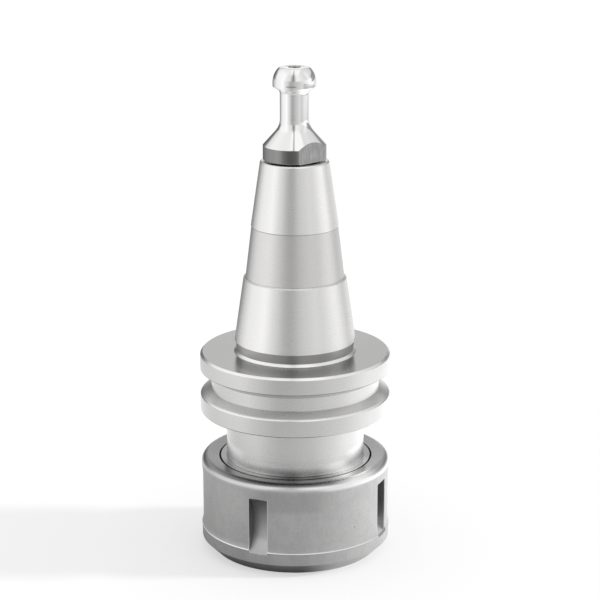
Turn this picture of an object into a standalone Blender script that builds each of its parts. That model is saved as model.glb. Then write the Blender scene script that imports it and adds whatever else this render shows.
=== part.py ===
"""Collet chuck: a steep-taper holder with its pull stud, a slotted spring collet and a ball-bearing
clamping nut. It stands on the nut's front face, which is z = 0, with the taper pointing up.

Units are metres. Every turned piece shares the Z axis, which is also the axis that the nut turns on.
Directions round the axis are angles from -Y towards +X.
"""

import math

import bpy

# Clearances
SEAT_GAP = 0.0003           # between two pieces that touch on the real tool
RACE_GAP = 0.0002           # between a ball and its races
POCKET_GAP = 0.0006         # round the collet's collar, so that it can tip into the ring
LIP_GAP = 0.0004            # above the collar, under the ring's lip
NOSE_GAP = 0.0006           # between the pressure ring and the holder's nose
BALL_SPACING = 0.00038      # between neighbouring balls

# Spring collet
COLLET_RADIUS = 0.0165      # at the thick end of the long cone
COLLET_LENGTH = 0.040
COLLET_RECESS = 0.0006      # its face behind the nut's face
COLLET_WALL = 0.0085        # from the thick end in to the bore
COLLET_CONE_ANGLE = math.radians(8)
COLLET_FACE_CONE = 0.003464  # height of the cone at its face
COLLET_FRONT_ANGLE = math.radians(30)
COLLET_COLLAR_STEP = 0.0008  # the collar is this much smaller than the long cone
COLLET_COLLAR_HEIGHT = 0.0039
COLLET_GROOVE_DEPTH = 0.0015
COLLET_GROOVE_WIDTH = 0.0033
COLLET_EDGE = 0.0005
SLIT_WIDTH = 0.0009
SLIT_CUTS = 4               # cuts right across, so twice as many slits from each end
SLIT_END_WALL = 0.006       # left uncut at the thin end
SLIT_FRONT_WALL = 0.0026    # left uncut behind the groove

# Pressure ring inside the nut
RING_RECESS = 0.0003        # its face behind the nut's face
RING_HEIGHT = 0.0083
RING_LIP_THICKNESS = 0.0015
RING_LIP_BITE = 0.0002      # the lip's bore is this much smaller than the collar
RING_LIP_OFFSET = 0.0007    # the lip's bore is off centre, so one side holds the collet
RING_LIP_START = 0.0012     # how far the lip reaches in before its bore is cut
RING_WALL = 0.0009          # between the collar's pocket and the balls
RING_MOUTH_GAP = 0.0004     # round the collet above the lip

# Ball row
BALL_RADIUS = 0.0015
BALL_HEIGHT = 0.0042
RACE_STEP_OUT = 0.00048     # the nut's bore is this much outside the balls' circle
RACE_STEP_IN = 0.0011       # the nut's front lip is this much inside it
PLUG_RADIUS = 0.0016
PLUG_SINK = 0.0006
PLUG_DIRECTION = math.radians(202.6)

# Clamping nut
NUT_LENGTH = 0.0255
NUT_WALL = 0.005            # outside the thread; the flange is turned to the same size
NUT_WAIST = 0.0003
NUT_RIDGE = 0.00015
NUT_BAND_HEIGHT = 0.0064
NUT_SHOULDER_ROUND = 0.0019
NUT_SHOULDER_FADE = 0.0032  # height over which the shoulder runs into the waist
NUT_RIDGE_FADE = 0.0016
NUT_FRONT_CHAMFER = 0.0035
NUT_EDGE = 0.0006
NUT_LIP_EDGE = 0.0003
NUT_DISH = 0.0004           # the rear face falls this much towards the collar
SLOT_COUNT = 4
SLOT_WIDTH = 0.0052
SLOT_LENGTH = 0.0148
SLOT_DEPTH = 0.0036
SLOT_CENTRE_HEIGHT = 0.01335
SLOT_DIRECTION = math.radians(-23.1)

# Nose thread, without its turns
THREAD_PITCH = 0.0015
THREAD_DEPTH = 0.6134 * THREAD_PITCH
NOSE_CHAMFER = 0.0010
COLLAR_SINK = 0.0003        # the thread's collar below the nut's rear face
COLLAR_HEIGHT = 0.00165
COLLAR_EDGE = 0.0001
NECK_STEP = 0.0018          # the neck is this much smaller than the thread
NECK_LENGTH = 0.01305
NECK_ROUND = 0.0004

# Flange and its gripper groove
FLANGE_WIDTH = 0.0159
FLANGE_EDGE = 0.00025
FLANGE_TOP_EDGE = 0.0006
GROOVE_CENTRE = 0.0079      # below the flange's upper face
GROOVE_OPENING = 0.00678
GROOVE_DEPTH = 0.00285
GROOVE_FLANK = math.radians(30)

# Steep taper, 7 on diameter in 24 of length
TAPER_RATE = 7 / 48
GAUGE_RADIUS = 0.015875
GAUGE_HEIGHT = 0.0032       # the gauge line above the flange's upper face
TAPER_LENGTH = 0.0478
UPPER_LAND_LENGTH = 0.0171
RELIEF_LENGTH = 0.01395
RELIEF_TOP_DEPTH = 0.00015
RELIEF_BOTTOM_DEPTH = 0.00055
TAPER_EDGE = 0.0003
UNDERCUT_STEP = 0.0003      # how far the land's lower edge stands out over it
UNDERCUT_DEPTH = 0.0005     # at its lower end
UNDERCUT_LEDGE = 0.0007     # the little slope at the taper's foot
UNDERCUT_FOOT = 0.00018

# Bores inside the holder
CAVITY_RUN_OUT = 0.0024     # the cone goes on past the collet's thin end
SHANK_CLEARANCE = 0.001     # round a shank that reaches past the collet
SHANK_BORE_LENGTH = 0.021
THROUGH_BORE_RADIUS = 0.004
DRILL_ANGLE = math.radians(59)
STUD_HOLE_SPARE = 0.004     # tapped hole past the end of the stud

# Pull stud, heights from the taper's small end
STUD_HEIGHT = 0.0241
STUD_TOP_RADIUS = 0.0039
STUD_HEAD_RADIUS = 0.0056
STUD_HEAD_ROUND = 0.00504
STUD_HEAD_LAND = 0.0006
STUD_UNDER_HEAD = math.radians(36)
STUD_NECK_RADIUS = 0.00375
STUD_FLARE_ROUND = 0.0048
STUD_FLARE_ANGLE = math.radians(42)
STUD_COLLAR_RADIUS = 0.0082
STUD_COLLAR_TOP = 0.00405
STUD_COLLAR_EDGE = 0.0002
STUD_RELIEF_RADIUS = 0.0058
STUD_RELIEF_LENGTH = 0.0010
STUD_PILOT_RADIUS = 0.0065
STUD_PILOT_LENGTH = 0.005
STUD_SHANK_RADIUS = 0.00495
STUD_SHANK_LENGTH = 0.020
STUD_SHANK_CHAMFER = 0.0008
STUD_FLAT_DISTANCE = 0.00685
STUD_FLAT_DIRECTION = math.radians(41.5)
STUD_HOLE_RADIUS = 0.0016
STUD_HOLE_DEPTH = 0.0035

# Facets
HOLDER_STEPS = 52
NUT_STEPS = 52
RING_STEPS = 40
COLLET_STEPS = 48
STUD_STEPS = 36
SHARP_ANGLE = math.radians(30)
CUTTER_SPARE = 0.002        # cutters stand this far out of what they cut

# Heights and radii that follow from the sizes above
COLLET_BORE_RADIUS = COLLET_RADIUS - COLLET_WALL
SHANK_BORE_RADIUS = COLLET_BORE_RADIUS + SHANK_CLEARANCE
GROOVE_FLOOR = COLLET_RECESS + COLLET_COLLAR_HEIGHT
CONE_START = GROOVE_FLOOR + COLLET_GROOVE_WIDTH
COLLAR_RADIUS = COLLET_RADIUS - COLLET_COLLAR_STEP
COLLET_FACE_RADIUS = COLLAR_RADIUS - COLLET_FACE_CONE * math.tan(COLLET_FRONT_ANGLE)
POCKET_RADIUS = COLLAR_RADIUS + POCKET_GAP
RACE_RADIUS = BALL_RADIUS + RACE_GAP
BALL_CIRCLE = POCKET_RADIUS + RING_WALL + RACE_RADIUS
BALL_COUNT = int(math.tau * BALL_CIRCLE / (2 * BALL_RADIUS + BALL_SPACING))
NUT_BORE_RADIUS = BALL_CIRCLE + RACE_STEP_OUT
NUT_LIP_RADIUS = BALL_CIRCLE - RACE_STEP_IN
THREAD_CORE_RADIUS = NUT_BORE_RADIUS - SEAT_GAP
THREAD_RADIUS = THREAD_CORE_RADIUS + THREAD_DEPTH
COUNTERBORE_RADIUS = THREAD_RADIUS + SEAT_GAP
NUT_RADIUS = THREAD_RADIUS + NUT_WALL
NUT_WAIST_RADIUS = NUT_RADIUS - NUT_WAIST
FLANGE_RADIUS = NUT_RADIUS
NECK_RADIUS = THREAD_RADIUS - NECK_STEP
RING_TOP = RING_RECESS + RING_HEIGHT
NOSE_FRONT = RING_TOP + NOSE_GAP
COLLAR_TOP = NUT_LENGTH - COLLAR_SINK
FLANGE_FACE = COLLAR_TOP + NECK_LENGTH + FLANGE_WIDTH
SMALL_END = GAUGE_HEIGHT + TAPER_LENGTH
STUD_RECESS_DEPTH = STUD_PILOT_LENGTH + SEAT_GAP


def clear_scene():
    for obj in list(bpy.data.objects):
        bpy.data.objects.remove(obj, do_unlink=True)


def new_collection(name):
    collection = bpy.data.collections.new(name)
    bpy.context.scene.collection.children.link(collection)
    return collection


def steel(name, colour, roughness):
    material = bpy.data.materials.new(name)
    material.use_nodes = True
    shader = material.node_tree.nodes["Principled BSDF"]
    shader.inputs["Base Color"].default_value = (*colour, 1)
    shader.inputs["Metallic"].default_value = 1
    shader.inputs["Roughness"].default_value = roughness
    return material


def arc(centre, radius, start, end, steps):
    """Points on a circle in the profile's plane, both ends included; angles from outwards to up."""
    turns = [start + (end - start) * i / steps for i in range(steps + 1)]
    return [(centre[0] + radius * math.cos(t), centre[1] + radius * math.sin(t)) for t in turns]


def direction(angle):
    """The unit vector at an angle from -Y towards +X."""
    return math.sin(angle), -math.cos(angle)


def empty(name, parent=None):
    axis = bpy.data.objects.new(name, None)
    axis.empty_display_size = FLANGE_RADIUS
    axis.parent = parent
    PARTS.objects.link(axis)
    return axis


def link_only_to(obj, collection):
    for owner in list(obj.users_collection):
        owner.objects.unlink(obj)
    collection.objects.link(obj)


def turned(name, profile, steps, closed=True):
    """A profile of (radius, height) points, down the outside first, turned round Z by a Screw."""
    mesh = bpy.data.meshes.new(name)
    edges = [(i, i + 1) for i in range(len(profile) - 1)]
    if closed:
        edges.append((len(profile) - 1, 0))
    mesh.from_pydata([(r, 0, z) for r, z in profile], edges, [])
    piece = bpy.data.objects.new(name, mesh)
    PARTS.objects.link(piece)
    screw = piece.modifiers.new("Turn", "SCREW")
    screw.steps = steps
    screw.render_steps = steps
    screw.use_merge_vertices = True
    screw.merge_threshold = 0.00001
    return piece


def cutter_from_active(name):
    cutter = bpy.context.active_object
    cutter.name = name
    cutter.hide_render = True
    cutter.display_type = "WIRE"
    link_only_to(cutter, CUTTERS)
    return cutter


def box_cutter(name, size, centre, turn=0):
    bpy.ops.mesh.primitive_cube_add(size=1, location=centre, rotation=(0, 0, turn), scale=size)
    return cutter_from_active(name)


def cylinder_cutter(name, radius, depth, centre, rotation=(0, 0, 0), vertices=40):
    bpy.ops.mesh.primitive_cylinder_add(
        vertices=vertices, radius=radius, depth=depth, location=centre, rotation=rotation
    )
    return cutter_from_active(name)


def cut(piece, cutter):
    boolean = piece.modifiers.new(cutter.name, "BOOLEAN")
    boolean.operation = "DIFFERENCE"
    boolean.solver = "EXACT"
    boolean.object = cutter


def settle(piece, material, parent, height=0):
    """Fixes the turned and cut shape as the piece's own mesh, shaded smooth between sharp edges."""
    bpy.context.view_layer.update()
    evaluated = piece.evaluated_get(bpy.context.evaluated_depsgraph_get())
    mesh = bpy.data.meshes.new_from_object(evaluated)
    mesh.name = piece.name
    piece.modifiers.clear()
    piece.data = mesh
    mesh.shade_smooth()
    mesh.set_sharp_from_angle(angle=SHARP_ANGLE)
    mesh.materials.clear()
    mesh.materials.append(material)
    piece.parent = parent
    piece.location.z = height


def taper_radius(height):
    """The ground cone's radius at a height above the flange's upper face."""
    return GAUGE_RADIUS - (height - GAUGE_HEIGHT) * TAPER_RATE


def cone_drop(rise):
    """How much the collet's long cone loses in radius over a rise."""
    return rise * math.tan(COLLET_CONE_ANGLE)


def taper_profile():
    """The ground cone, its relieved middle and the undercut at its foot, from the small end down."""
    relief_top = SMALL_END - UPPER_LAND_LENGTH
    relief_bottom = relief_top - RELIEF_LENGTH
    foot = GAUGE_HEIGHT
    return [
        (taper_radius(SMALL_END) - TAPER_EDGE, SMALL_END),
        (taper_radius(SMALL_END - TAPER_EDGE), SMALL_END - TAPER_EDGE),
        (taper_radius(relief_top), relief_top),
        (taper_radius(relief_top) - RELIEF_TOP_DEPTH, relief_top - RELIEF_TOP_DEPTH),
        (taper_radius(relief_bottom) - RELIEF_BOTTOM_DEPTH, relief_bottom + RELIEF_BOTTOM_DEPTH),
        (taper_radius(relief_bottom), relief_bottom),
        (taper_radius(foot), foot),
        (taper_radius(foot) - UNDERCUT_STEP, foot - UNDERCUT_STEP / 3),
        (taper_radius(foot) - UNDERCUT_DEPTH, UNDERCUT_LEDGE),
        (taper_radius(foot) + UNDERCUT_FOOT, 0),
    ]


def flange_profile():
    """The rim with its V groove for the tool changer, from the upper face down to the neck."""
    root = FLANGE_RADIUS - GROOVE_DEPTH
    root_half = GROOVE_OPENING / 2 - GROOVE_DEPTH * math.tan(GROOVE_FLANK)
    return [
        (FLANGE_RADIUS - FLANGE_TOP_EDGE, 0),
        (FLANGE_RADIUS, -FLANGE_TOP_EDGE),
        (FLANGE_RADIUS, -GROOVE_CENTRE + GROOVE_OPENING / 2),
        (root, -GROOVE_CENTRE + root_half),
        (root, -GROOVE_CENTRE - root_half),
        (FLANGE_RADIUS, -GROOVE_CENTRE - GROOVE_OPENING / 2),
        (FLANGE_RADIUS, -FLANGE_WIDTH + FLANGE_EDGE),
        (FLANGE_RADIUS - FLANGE_EDGE, -FLANGE_WIDTH),
        (NECK_RADIUS + NECK_ROUND, -FLANGE_WIDTH),
        (NECK_RADIUS, -FLANGE_WIDTH - NECK_ROUND),
    ]


def nose_profile():
    """The neck's end, the collar above the thread and the thread's core down to the nose's face."""
    collar_top = COLLAR_TOP - FLANGE_FACE
    collar_bottom = collar_top - COLLAR_HEIGHT
    front = NOSE_FRONT - FLANGE_FACE
    return [
        (NECK_RADIUS, collar_top + NECK_ROUND),
        (NECK_RADIUS + NECK_ROUND, collar_top),
        (THREAD_RADIUS - COLLAR_EDGE, collar_top),
        (THREAD_RADIUS, collar_top - COLLAR_EDGE),
        (THREAD_RADIUS, collar_bottom),
        (THREAD_CORE_RADIUS, collar_bottom - THREAD_DEPTH),
        (THREAD_CORE_RADIUS, front + NOSE_CHAMFER),
        (THREAD_CORE_RADIUS - NOSE_CHAMFER, front),
    ]


def holder_bore_profile():
    """Inside the holder, from the nose up: collet cone, shank bore, through bore and stud hole."""
    gap = SEAT_GAP / math.cos(COLLET_CONE_ANGLE)
    cone_end = COLLET_RECESS + COLLET_LENGTH + CAVITY_RUN_OUT
    mouth_radius = COLLET_RADIUS - cone_drop(NOSE_FRONT - CONE_START) + gap
    end_radius = COLLET_RADIUS - cone_drop(cone_end - CONE_START) + gap
    front = NOSE_FRONT - FLANGE_FACE
    cone_end -= FLANGE_FACE
    shank_end = cone_end + SHANK_BORE_LENGTH
    shank_point = (SHANK_BORE_RADIUS - THROUGH_BORE_RADIUS) / math.tan(DRILL_ANGLE)
    tapped_radius = STUD_SHANK_RADIUS + SEAT_GAP
    tapped_end = SMALL_END - STUD_SHANK_LENGTH - STUD_HOLE_SPARE
    tapped_point = (tapped_radius - THROUGH_BORE_RADIUS) / math.tan(DRILL_ANGLE)
    recess_radius = STUD_PILOT_RADIUS + SEAT_GAP
    return [
        (mouth_radius, front),
        (end_radius, cone_end),
        (SHANK_BORE_RADIUS, cone_end),
        (SHANK_BORE_RADIUS, shank_end),
        (THROUGH_BORE_RADIUS, shank_end + shank_point),
        (THROUGH_BORE_RADIUS, tapped_end - tapped_point),
        (tapped_radius, tapped_end),
        (tapped_radius, SMALL_END - STUD_RECESS_DEPTH),
        (recess_radius, SMALL_END - STUD_RECESS_DEPTH),
        (recess_radius, SMALL_END - TAPER_EDGE),
        (recess_radius + TAPER_EDGE, SMALL_END),
    ]


def make_holder_body(parent, material):
    profile = taper_profile() + flange_profile() + nose_profile() + holder_bore_profile()
    piece = turned("holder_body", profile, HOLDER_STEPS)
    settle(piece, material, parent, FLANGE_FACE)


def stud_head_profile():
    """The rounded head, its underside and the neck that the drawbar's grippers close on."""
    arc_radius = STUD_HEAD_RADIUS - STUD_HEAD_ROUND
    arc_start = math.acos((STUD_TOP_RADIUS - arc_radius) / STUD_HEAD_ROUND)
    arc_height = STUD_HEIGHT - STUD_HEAD_ROUND * math.sin(arc_start)
    land_end = arc_height - STUD_HEAD_LAND
    under_head = (STUD_HEAD_RADIUS - STUD_NECK_RADIUS) / math.tan(STUD_UNDER_HEAD)
    points = arc((arc_radius, arc_height), STUD_HEAD_ROUND, arc_start, 0, 5)
    points.append((STUD_HEAD_RADIUS, land_end))
    points.append((STUD_NECK_RADIUS, land_end - under_head))
    return points


def stud_flare_profile():
    """The hollow curve and the cone from the neck out to the collar."""
    cone_turn = math.pi + STUD_FLARE_ANGLE
    centre_radius = STUD_NECK_RADIUS + STUD_FLARE_ROUND
    cone_radius = centre_radius + STUD_FLARE_ROUND * math.cos(cone_turn)
    cone_rise = (STUD_COLLAR_RADIUS - cone_radius) / math.tan(STUD_FLARE_ANGLE)
    centre_height = STUD_COLLAR_TOP + cone_rise - STUD_FLARE_ROUND * math.sin(cone_turn)
    return arc((centre_radius, centre_height), STUD_FLARE_ROUND, math.pi, cone_turn, 4)


def stud_shank_profile():
    """The collar, the relief under it, the pilot and the shank in the tapped hole."""
    relief_end = -STUD_RELIEF_LENGTH
    pilot_end = -STUD_PILOT_LENGTH
    pilot_step = STUD_PILOT_RADIUS - STUD_SHANK_RADIUS
    return [
        (STUD_COLLAR_RADIUS, STUD_COLLAR_TOP),
        (STUD_COLLAR_RADIUS, SEAT_GAP + STUD_COLLAR_EDGE),
        (STUD_COLLAR_RADIUS - STUD_COLLAR_EDGE, SEAT_GAP),
        (STUD_RELIEF_RADIUS, SEAT_GAP),
        (STUD_RELIEF_RADIUS, relief_end),
        (STUD_PILOT_RADIUS, relief_end + STUD_RELIEF_RADIUS - STUD_PILOT_RADIUS),
        (STUD_PILOT_RADIUS, pilot_end + pilot_step),
        (STUD_SHANK_RADIUS, pilot_end),
        (STUD_SHANK_RADIUS, STUD_SHANK_CHAMFER - STUD_SHANK_LENGTH),
        (STUD_SHANK_RADIUS - STUD_SHANK_CHAMFER, -STUD_SHANK_LENGTH),
        (0, -STUD_SHANK_LENGTH),
    ]


def make_pull_stud(parent, material):
    hole_end = STUD_HEIGHT - STUD_HOLE_DEPTH
    hole_point = STUD_HOLE_RADIUS / math.tan(DRILL_ANGLE)
    hole = [
        (0, hole_end - hole_point),
        (STUD_HOLE_RADIUS, hole_end),
        (STUD_HOLE_RADIUS, STUD_HEIGHT),
    ]
    profile = hole + stud_head_profile() + stud_flare_profile() + stud_shank_profile()
    piece = turned("pull_stud", profile, STUD_STEPS, closed=False)
    depth = STUD_COLLAR_RADIUS
    for side in (0, 1):
        turn = STUD_FLAT_DIRECTION + side * math.pi
        x, y = direction(turn)
        reach = STUD_FLAT_DISTANCE + depth / 2
        height = STUD_HEIGHT / 2
        size = (3 * STUD_COLLAR_RADIUS, depth, height)
        centre = (x * reach, y * reach, height / 2)
        cut(piece, box_cutter(f"stud_flat_cut_{side + 1}", size, centre, turn))
    settle(piece, material, parent, FLANGE_FACE + SMALL_END)


def nut_outer_profile():
    """Outside of the nut, from the rear face over the shoulder, waist and ridge to the front."""
    shoulder = (NUT_RADIUS - NUT_SHOULDER_ROUND, NUT_LENGTH - NUT_SHOULDER_ROUND)
    rounded = arc(shoulder, NUT_SHOULDER_ROUND, math.pi / 2, 0, 5)
    return rounded + [
        (NUT_WAIST_RADIUS, NUT_LENGTH - NUT_SHOULDER_ROUND - NUT_SHOULDER_FADE),
        (NUT_WAIST_RADIUS, NUT_BAND_HEIGHT + NUT_RIDGE_FADE),
        (NUT_RADIUS + NUT_RIDGE, NUT_BAND_HEIGHT),
        (NUT_RADIUS, NUT_BAND_HEIGHT - NUT_EDGE),
        (NUT_RADIUS, NUT_FRONT_CHAMFER),
        (NUT_RADIUS - NUT_FRONT_CHAMFER, 0),
    ]


def nut_inner_profile():
    """Inside of the nut, from its front lip up: the outer race, the bore and the counterbore."""
    race_centre = (BALL_CIRCLE, BALL_HEIGHT)
    start = -math.acos(-RACE_STEP_IN / RACE_RADIUS)
    end = math.acos(RACE_STEP_OUT / RACE_RADIUS)
    counterbore_end = COLLAR_TOP - COLLAR_HEIGHT - SEAT_GAP
    bore_end = counterbore_end - (COUNTERBORE_RADIUS - NUT_BORE_RADIUS)
    lip = [(NUT_LIP_RADIUS + NUT_LIP_EDGE, 0), (NUT_LIP_RADIUS, NUT_LIP_EDGE)]
    return lip + arc(race_centre, RACE_RADIUS, start, end, 8) + [
        (NUT_BORE_RADIUS, bore_end),
        (COUNTERBORE_RADIUS, counterbore_end),
        (COUNTERBORE_RADIUS, NUT_LENGTH - NUT_DISH),
    ]


def cut_spanner_slots(piece):
    """Slots sunk by a disc cutter, so that their floors run out in an arc at both ends."""
    cutter_radius = (SLOT_DEPTH**2 + (SLOT_LENGTH / 2) ** 2) / (2 * SLOT_DEPTH)
    reach = NUT_WAIST_RADIUS - SLOT_DEPTH + cutter_radius
    for i in range(SLOT_COUNT):
        turn = SLOT_DIRECTION + i * math.tau / SLOT_COUNT
        x, y = direction(turn)
        centre = (x * reach, y * reach, SLOT_CENTRE_HEIGHT)
        name = f"spanner_slot_cut_{i + 1}"
        cut(piece, cylinder_cutter(name, cutter_radius, SLOT_WIDTH, centre, (0, math.pi / 2, turn)))


def cut_filling_hole(piece):
    """The radial hole that the balls are put in through."""
    x, y = direction(PLUG_DIRECTION)
    start = BALL_CIRCLE
    end = NUT_RADIUS + CUTTER_SPARE
    middle = (start + end) / 2
    centre = (x * middle, y * middle, BALL_HEIGHT)
    hole_radius = PLUG_RADIUS + SEAT_GAP
    rotation = (math.pi / 2, 0, PLUG_DIRECTION)
    cutter = cylinder_cutter("filling_hole_cut", hole_radius, end - start, centre, rotation, 16)
    cut(piece, cutter)


def make_nut_shell(parent, material):
    piece = turned("nut_shell", nut_outer_profile() + nut_inner_profile(), NUT_STEPS)
    cut_spanner_slots(piece)
    cut_filling_hole(piece)
    settle(piece, material, parent)


def make_ball_plug(parent, material):
    """The pin that closes the filling hole, sunk a little below the nut's band."""
    start = BALL_CIRCLE + RACE_RADIUS
    end = NUT_RADIUS - PLUG_SINK
    profile = [
        (0, end),
        (PLUG_RADIUS - NUT_LIP_EDGE, end),
        (PLUG_RADIUS, end - NUT_LIP_EDGE),
        (PLUG_RADIUS, start),
        (0, start),
    ]
    piece = turned("ball_plug", profile, 16, closed=False)
    settle(piece, material, parent, BALL_HEIGHT)
    piece.rotation_euler = (math.pi / 2, 0, PLUG_DIRECTION)


def make_pressure_ring(parent, material):
    """The ring that the balls turn on. It presses on the collet's face cone, and its lip sits in
    the collet's groove and pulls the collet out when the nut is undone."""
    race_start = math.acos(RACE_STEP_OUT / RACE_RADIUS - SEAT_GAP / RACE_RADIUS)
    race_end = math.tau - math.acos(-(RACE_STEP_IN + SEAT_GAP) / RACE_RADIUS)
    gap = SEAT_GAP / math.cos(COLLET_FRONT_ANGLE)
    slope = math.tan(COLLET_FRONT_ANGLE)
    face_radius = COLLET_FACE_RADIUS + gap - (COLLET_RECESS - RING_RECESS) * slope
    cone_top = RING_RECESS + (POCKET_RADIUS - face_radius) / slope
    lip_bottom = GROOVE_FLOOR + LIP_GAP
    lip_top = lip_bottom + RING_LIP_THICKNESS
    mouth_radius = COLLET_RADIUS + RING_MOUTH_GAP
    outer_radius = NUT_BORE_RADIUS - SEAT_GAP
    front_radius = NUT_LIP_RADIUS - SEAT_GAP
    race = arc((BALL_CIRCLE, BALL_HEIGHT), RACE_RADIUS, race_start, race_end, 8)
    profile = [(outer_radius, RING_TOP)] + race + [
        (front_radius, RING_RECESS),
        (face_radius, RING_RECESS),
        (POCKET_RADIUS, cone_top),
        (POCKET_RADIUS, lip_bottom),
        (COLLAR_RADIUS - RING_LIP_START, lip_bottom),
        (COLLAR_RADIUS - RING_LIP_START, lip_top),
        (mouth_radius, lip_top),
        (mouth_radius, RING_TOP),
    ]
    piece = turned("pressure_ring", profile, RING_STEPS)
    lip_radius = COLLAR_RADIUS - RING_LIP_BITE
    centre = (RING_LIP_OFFSET, 0, (lip_bottom + lip_top) / 2)
    depth = RING_LIP_THICKNESS + LIP_GAP
    cut(piece, cylinder_cutter("lip_bore_cut", lip_radius, depth, centre))
    settle(piece, material, parent)


def collet_profile():
    """Heights from the collet's front face; the thin end is at the top."""
    cone_start = COLLET_COLLAR_HEIGHT + COLLET_GROOVE_WIDTH
    end_radius = COLLET_RADIUS - cone_drop(COLLET_LENGTH - cone_start)
    groove_radius = COLLAR_RADIUS - COLLET_GROOVE_DEPTH
    return [
        (end_radius - COLLET_EDGE, COLLET_LENGTH),
        (end_radius + cone_drop(COLLET_EDGE), COLLET_LENGTH - COLLET_EDGE),
        (COLLET_RADIUS, cone_start),
        (groove_radius, cone_start),
        (groove_radius, COLLET_COLLAR_HEIGHT),
        (COLLAR_RADIUS, COLLET_COLLAR_HEIGHT),
        (COLLAR_RADIUS, COLLET_FACE_CONE),
        (COLLET_FACE_RADIUS, 0),
        (COLLET_BORE_RADIUS + COLLET_EDGE, 0),
        (COLLET_BORE_RADIUS, COLLET_EDGE),
        (COLLET_BORE_RADIUS, COLLET_LENGTH - COLLET_EDGE),
        (COLLET_BORE_RADIUS + COLLET_EDGE, COLLET_LENGTH),
    ]


def cut_slits(piece):
    """Slits right through the wall, from the front and from the thin end in turn."""
    across = 2 * (COLLET_RADIUS + CUTTER_SPARE)
    cone_start = COLLET_COLLAR_HEIGHT + COLLET_GROOVE_WIDTH
    runs = {
        "front": (-CUTTER_SPARE, COLLET_LENGTH - SLIT_END_WALL, 0),
        "rear": (cone_start + SLIT_FRONT_WALL, COLLET_LENGTH + CUTTER_SPARE, 0.5),
    }
    for end, (bottom, top, shift) in runs.items():
        for i in range(SLIT_CUTS):
            turn = (i + shift) * math.pi / SLIT_CUTS
            size = (across, SLIT_WIDTH, top - bottom)
            centre = (0, 0, (bottom + top) / 2)
            cut(piece, box_cutter(f"{end}_slit_cut_{i + 1}", size, centre, turn))


def make_collet(parent, material):
    piece = turned("collet", collet_profile(), COLLET_STEPS)
    cut_slits(piece)
    settle(piece, material, parent, COLLET_RECESS)


def make_balls(parent, material):
    bpy.ops.mesh.primitive_ico_sphere_add(subdivisions=2, radius=BALL_RADIUS)
    first = bpy.context.active_object
    link_only_to(first, PARTS)
    first.data.name = "bearing_ball"
    first.data.shade_smooth()
    first.data.materials.append(material)
    for i in range(BALL_COUNT):
        ball = first if i == 0 else bpy.data.objects.new("ball", first.data)
        ball.name = f"ball_{i + 1:02d}"
        if i:
            PARTS.objects.link(ball)
        x, y = direction(i * math.tau / BALL_COUNT)
        ball.parent = parent
        ball.location = (x * BALL_CIRCLE, y * BALL_CIRCLE, BALL_HEIGHT)


clear_scene()
PARTS = new_collection("collet_chuck")
CUTTERS = new_collection("cutters")

ground_steel = steel("ground_steel", (0.76, 0.75, 0.74), 0.32)
polished_steel = steel("polished_steel", (0.88, 0.88, 0.88), 0.14)
blasted_steel = steel("blasted_steel", (0.48, 0.48, 0.48), 0.45)
hardened_steel = steel("hardened_steel", (0.58, 0.58, 0.58), 0.28)
spring_steel = steel("spring_steel", (0.66, 0.66, 0.66), 0.25)
bearing_steel = steel("bearing_steel", (0.80, 0.80, 0.80), 0.08)

holder_axis = empty("holder_axis")
collet_axis = empty("collet_axis", holder_axis)
nut_axis = empty("nut_axis", collet_axis)
ball_axis = empty("ball_axis", collet_axis)

make_holder_body(holder_axis, ground_steel)
make_pull_stud(holder_axis, polished_steel)
make_collet(collet_axis, spring_steel)
make_pressure_ring(collet_axis, hardened_steel)
make_nut_shell(nut_axis, blasted_steel)
make_ball_plug(nut_axis, bearing_steel)
make_balls(ball_axis, bearing_steel)
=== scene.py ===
"""Looks of a steep-taper collet chuck: fine turned pieces, ground, polished and blasted steel, a
pale floor and soft studio light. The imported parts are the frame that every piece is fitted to.

Units are metres. All turned pieces share the Z axis and stand on z = 0.
Directions round the axis are angles from -Y, the camera's side, towards +X.
"""

import math

import bpy
from mathutils import Matrix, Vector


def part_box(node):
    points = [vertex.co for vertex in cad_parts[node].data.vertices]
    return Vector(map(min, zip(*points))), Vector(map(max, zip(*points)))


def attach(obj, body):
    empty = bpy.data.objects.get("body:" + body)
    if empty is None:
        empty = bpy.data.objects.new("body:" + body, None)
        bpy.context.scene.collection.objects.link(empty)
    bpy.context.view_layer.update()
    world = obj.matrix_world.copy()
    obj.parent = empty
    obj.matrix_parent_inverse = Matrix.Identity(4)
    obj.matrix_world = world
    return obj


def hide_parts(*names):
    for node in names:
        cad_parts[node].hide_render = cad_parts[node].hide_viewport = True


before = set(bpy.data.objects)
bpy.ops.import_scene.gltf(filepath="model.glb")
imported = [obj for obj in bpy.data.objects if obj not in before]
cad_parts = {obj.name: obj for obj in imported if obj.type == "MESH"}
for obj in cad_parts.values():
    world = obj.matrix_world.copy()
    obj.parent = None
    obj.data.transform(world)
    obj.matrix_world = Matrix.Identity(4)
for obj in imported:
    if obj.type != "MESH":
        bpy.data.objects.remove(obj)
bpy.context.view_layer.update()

# Sizes read from the frame
holder_low, holder_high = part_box("holder_body")
nut_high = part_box("nut_shell")[1]
stud_low, stud_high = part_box("pull_stud")
ring_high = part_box("pressure_ring")[1]

# Fineness of the turned pieces
TURN_SIDES = 192
SMALL_TURN_SIDES = 128
EDGE_BREAK = 0.00009        # every turned edge is broken this much
EDGE_ANGLE = math.radians(24)
SHADE_ANGLE = math.radians(40)
SAME_POINT = 0.000001
STUD_EDGE_BREAK = 0.00007
HEAD_STEPS = 16             # straight stretches in each arc of an outline
SHOULDER_STEPS = 12
FLARE_STEPS = 14
UNDER_HEAD_STEPS = 10
NECK_FOOT_STEPS = 5
RACE_STEPS = 20
PLUG_SIDES = 48

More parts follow.
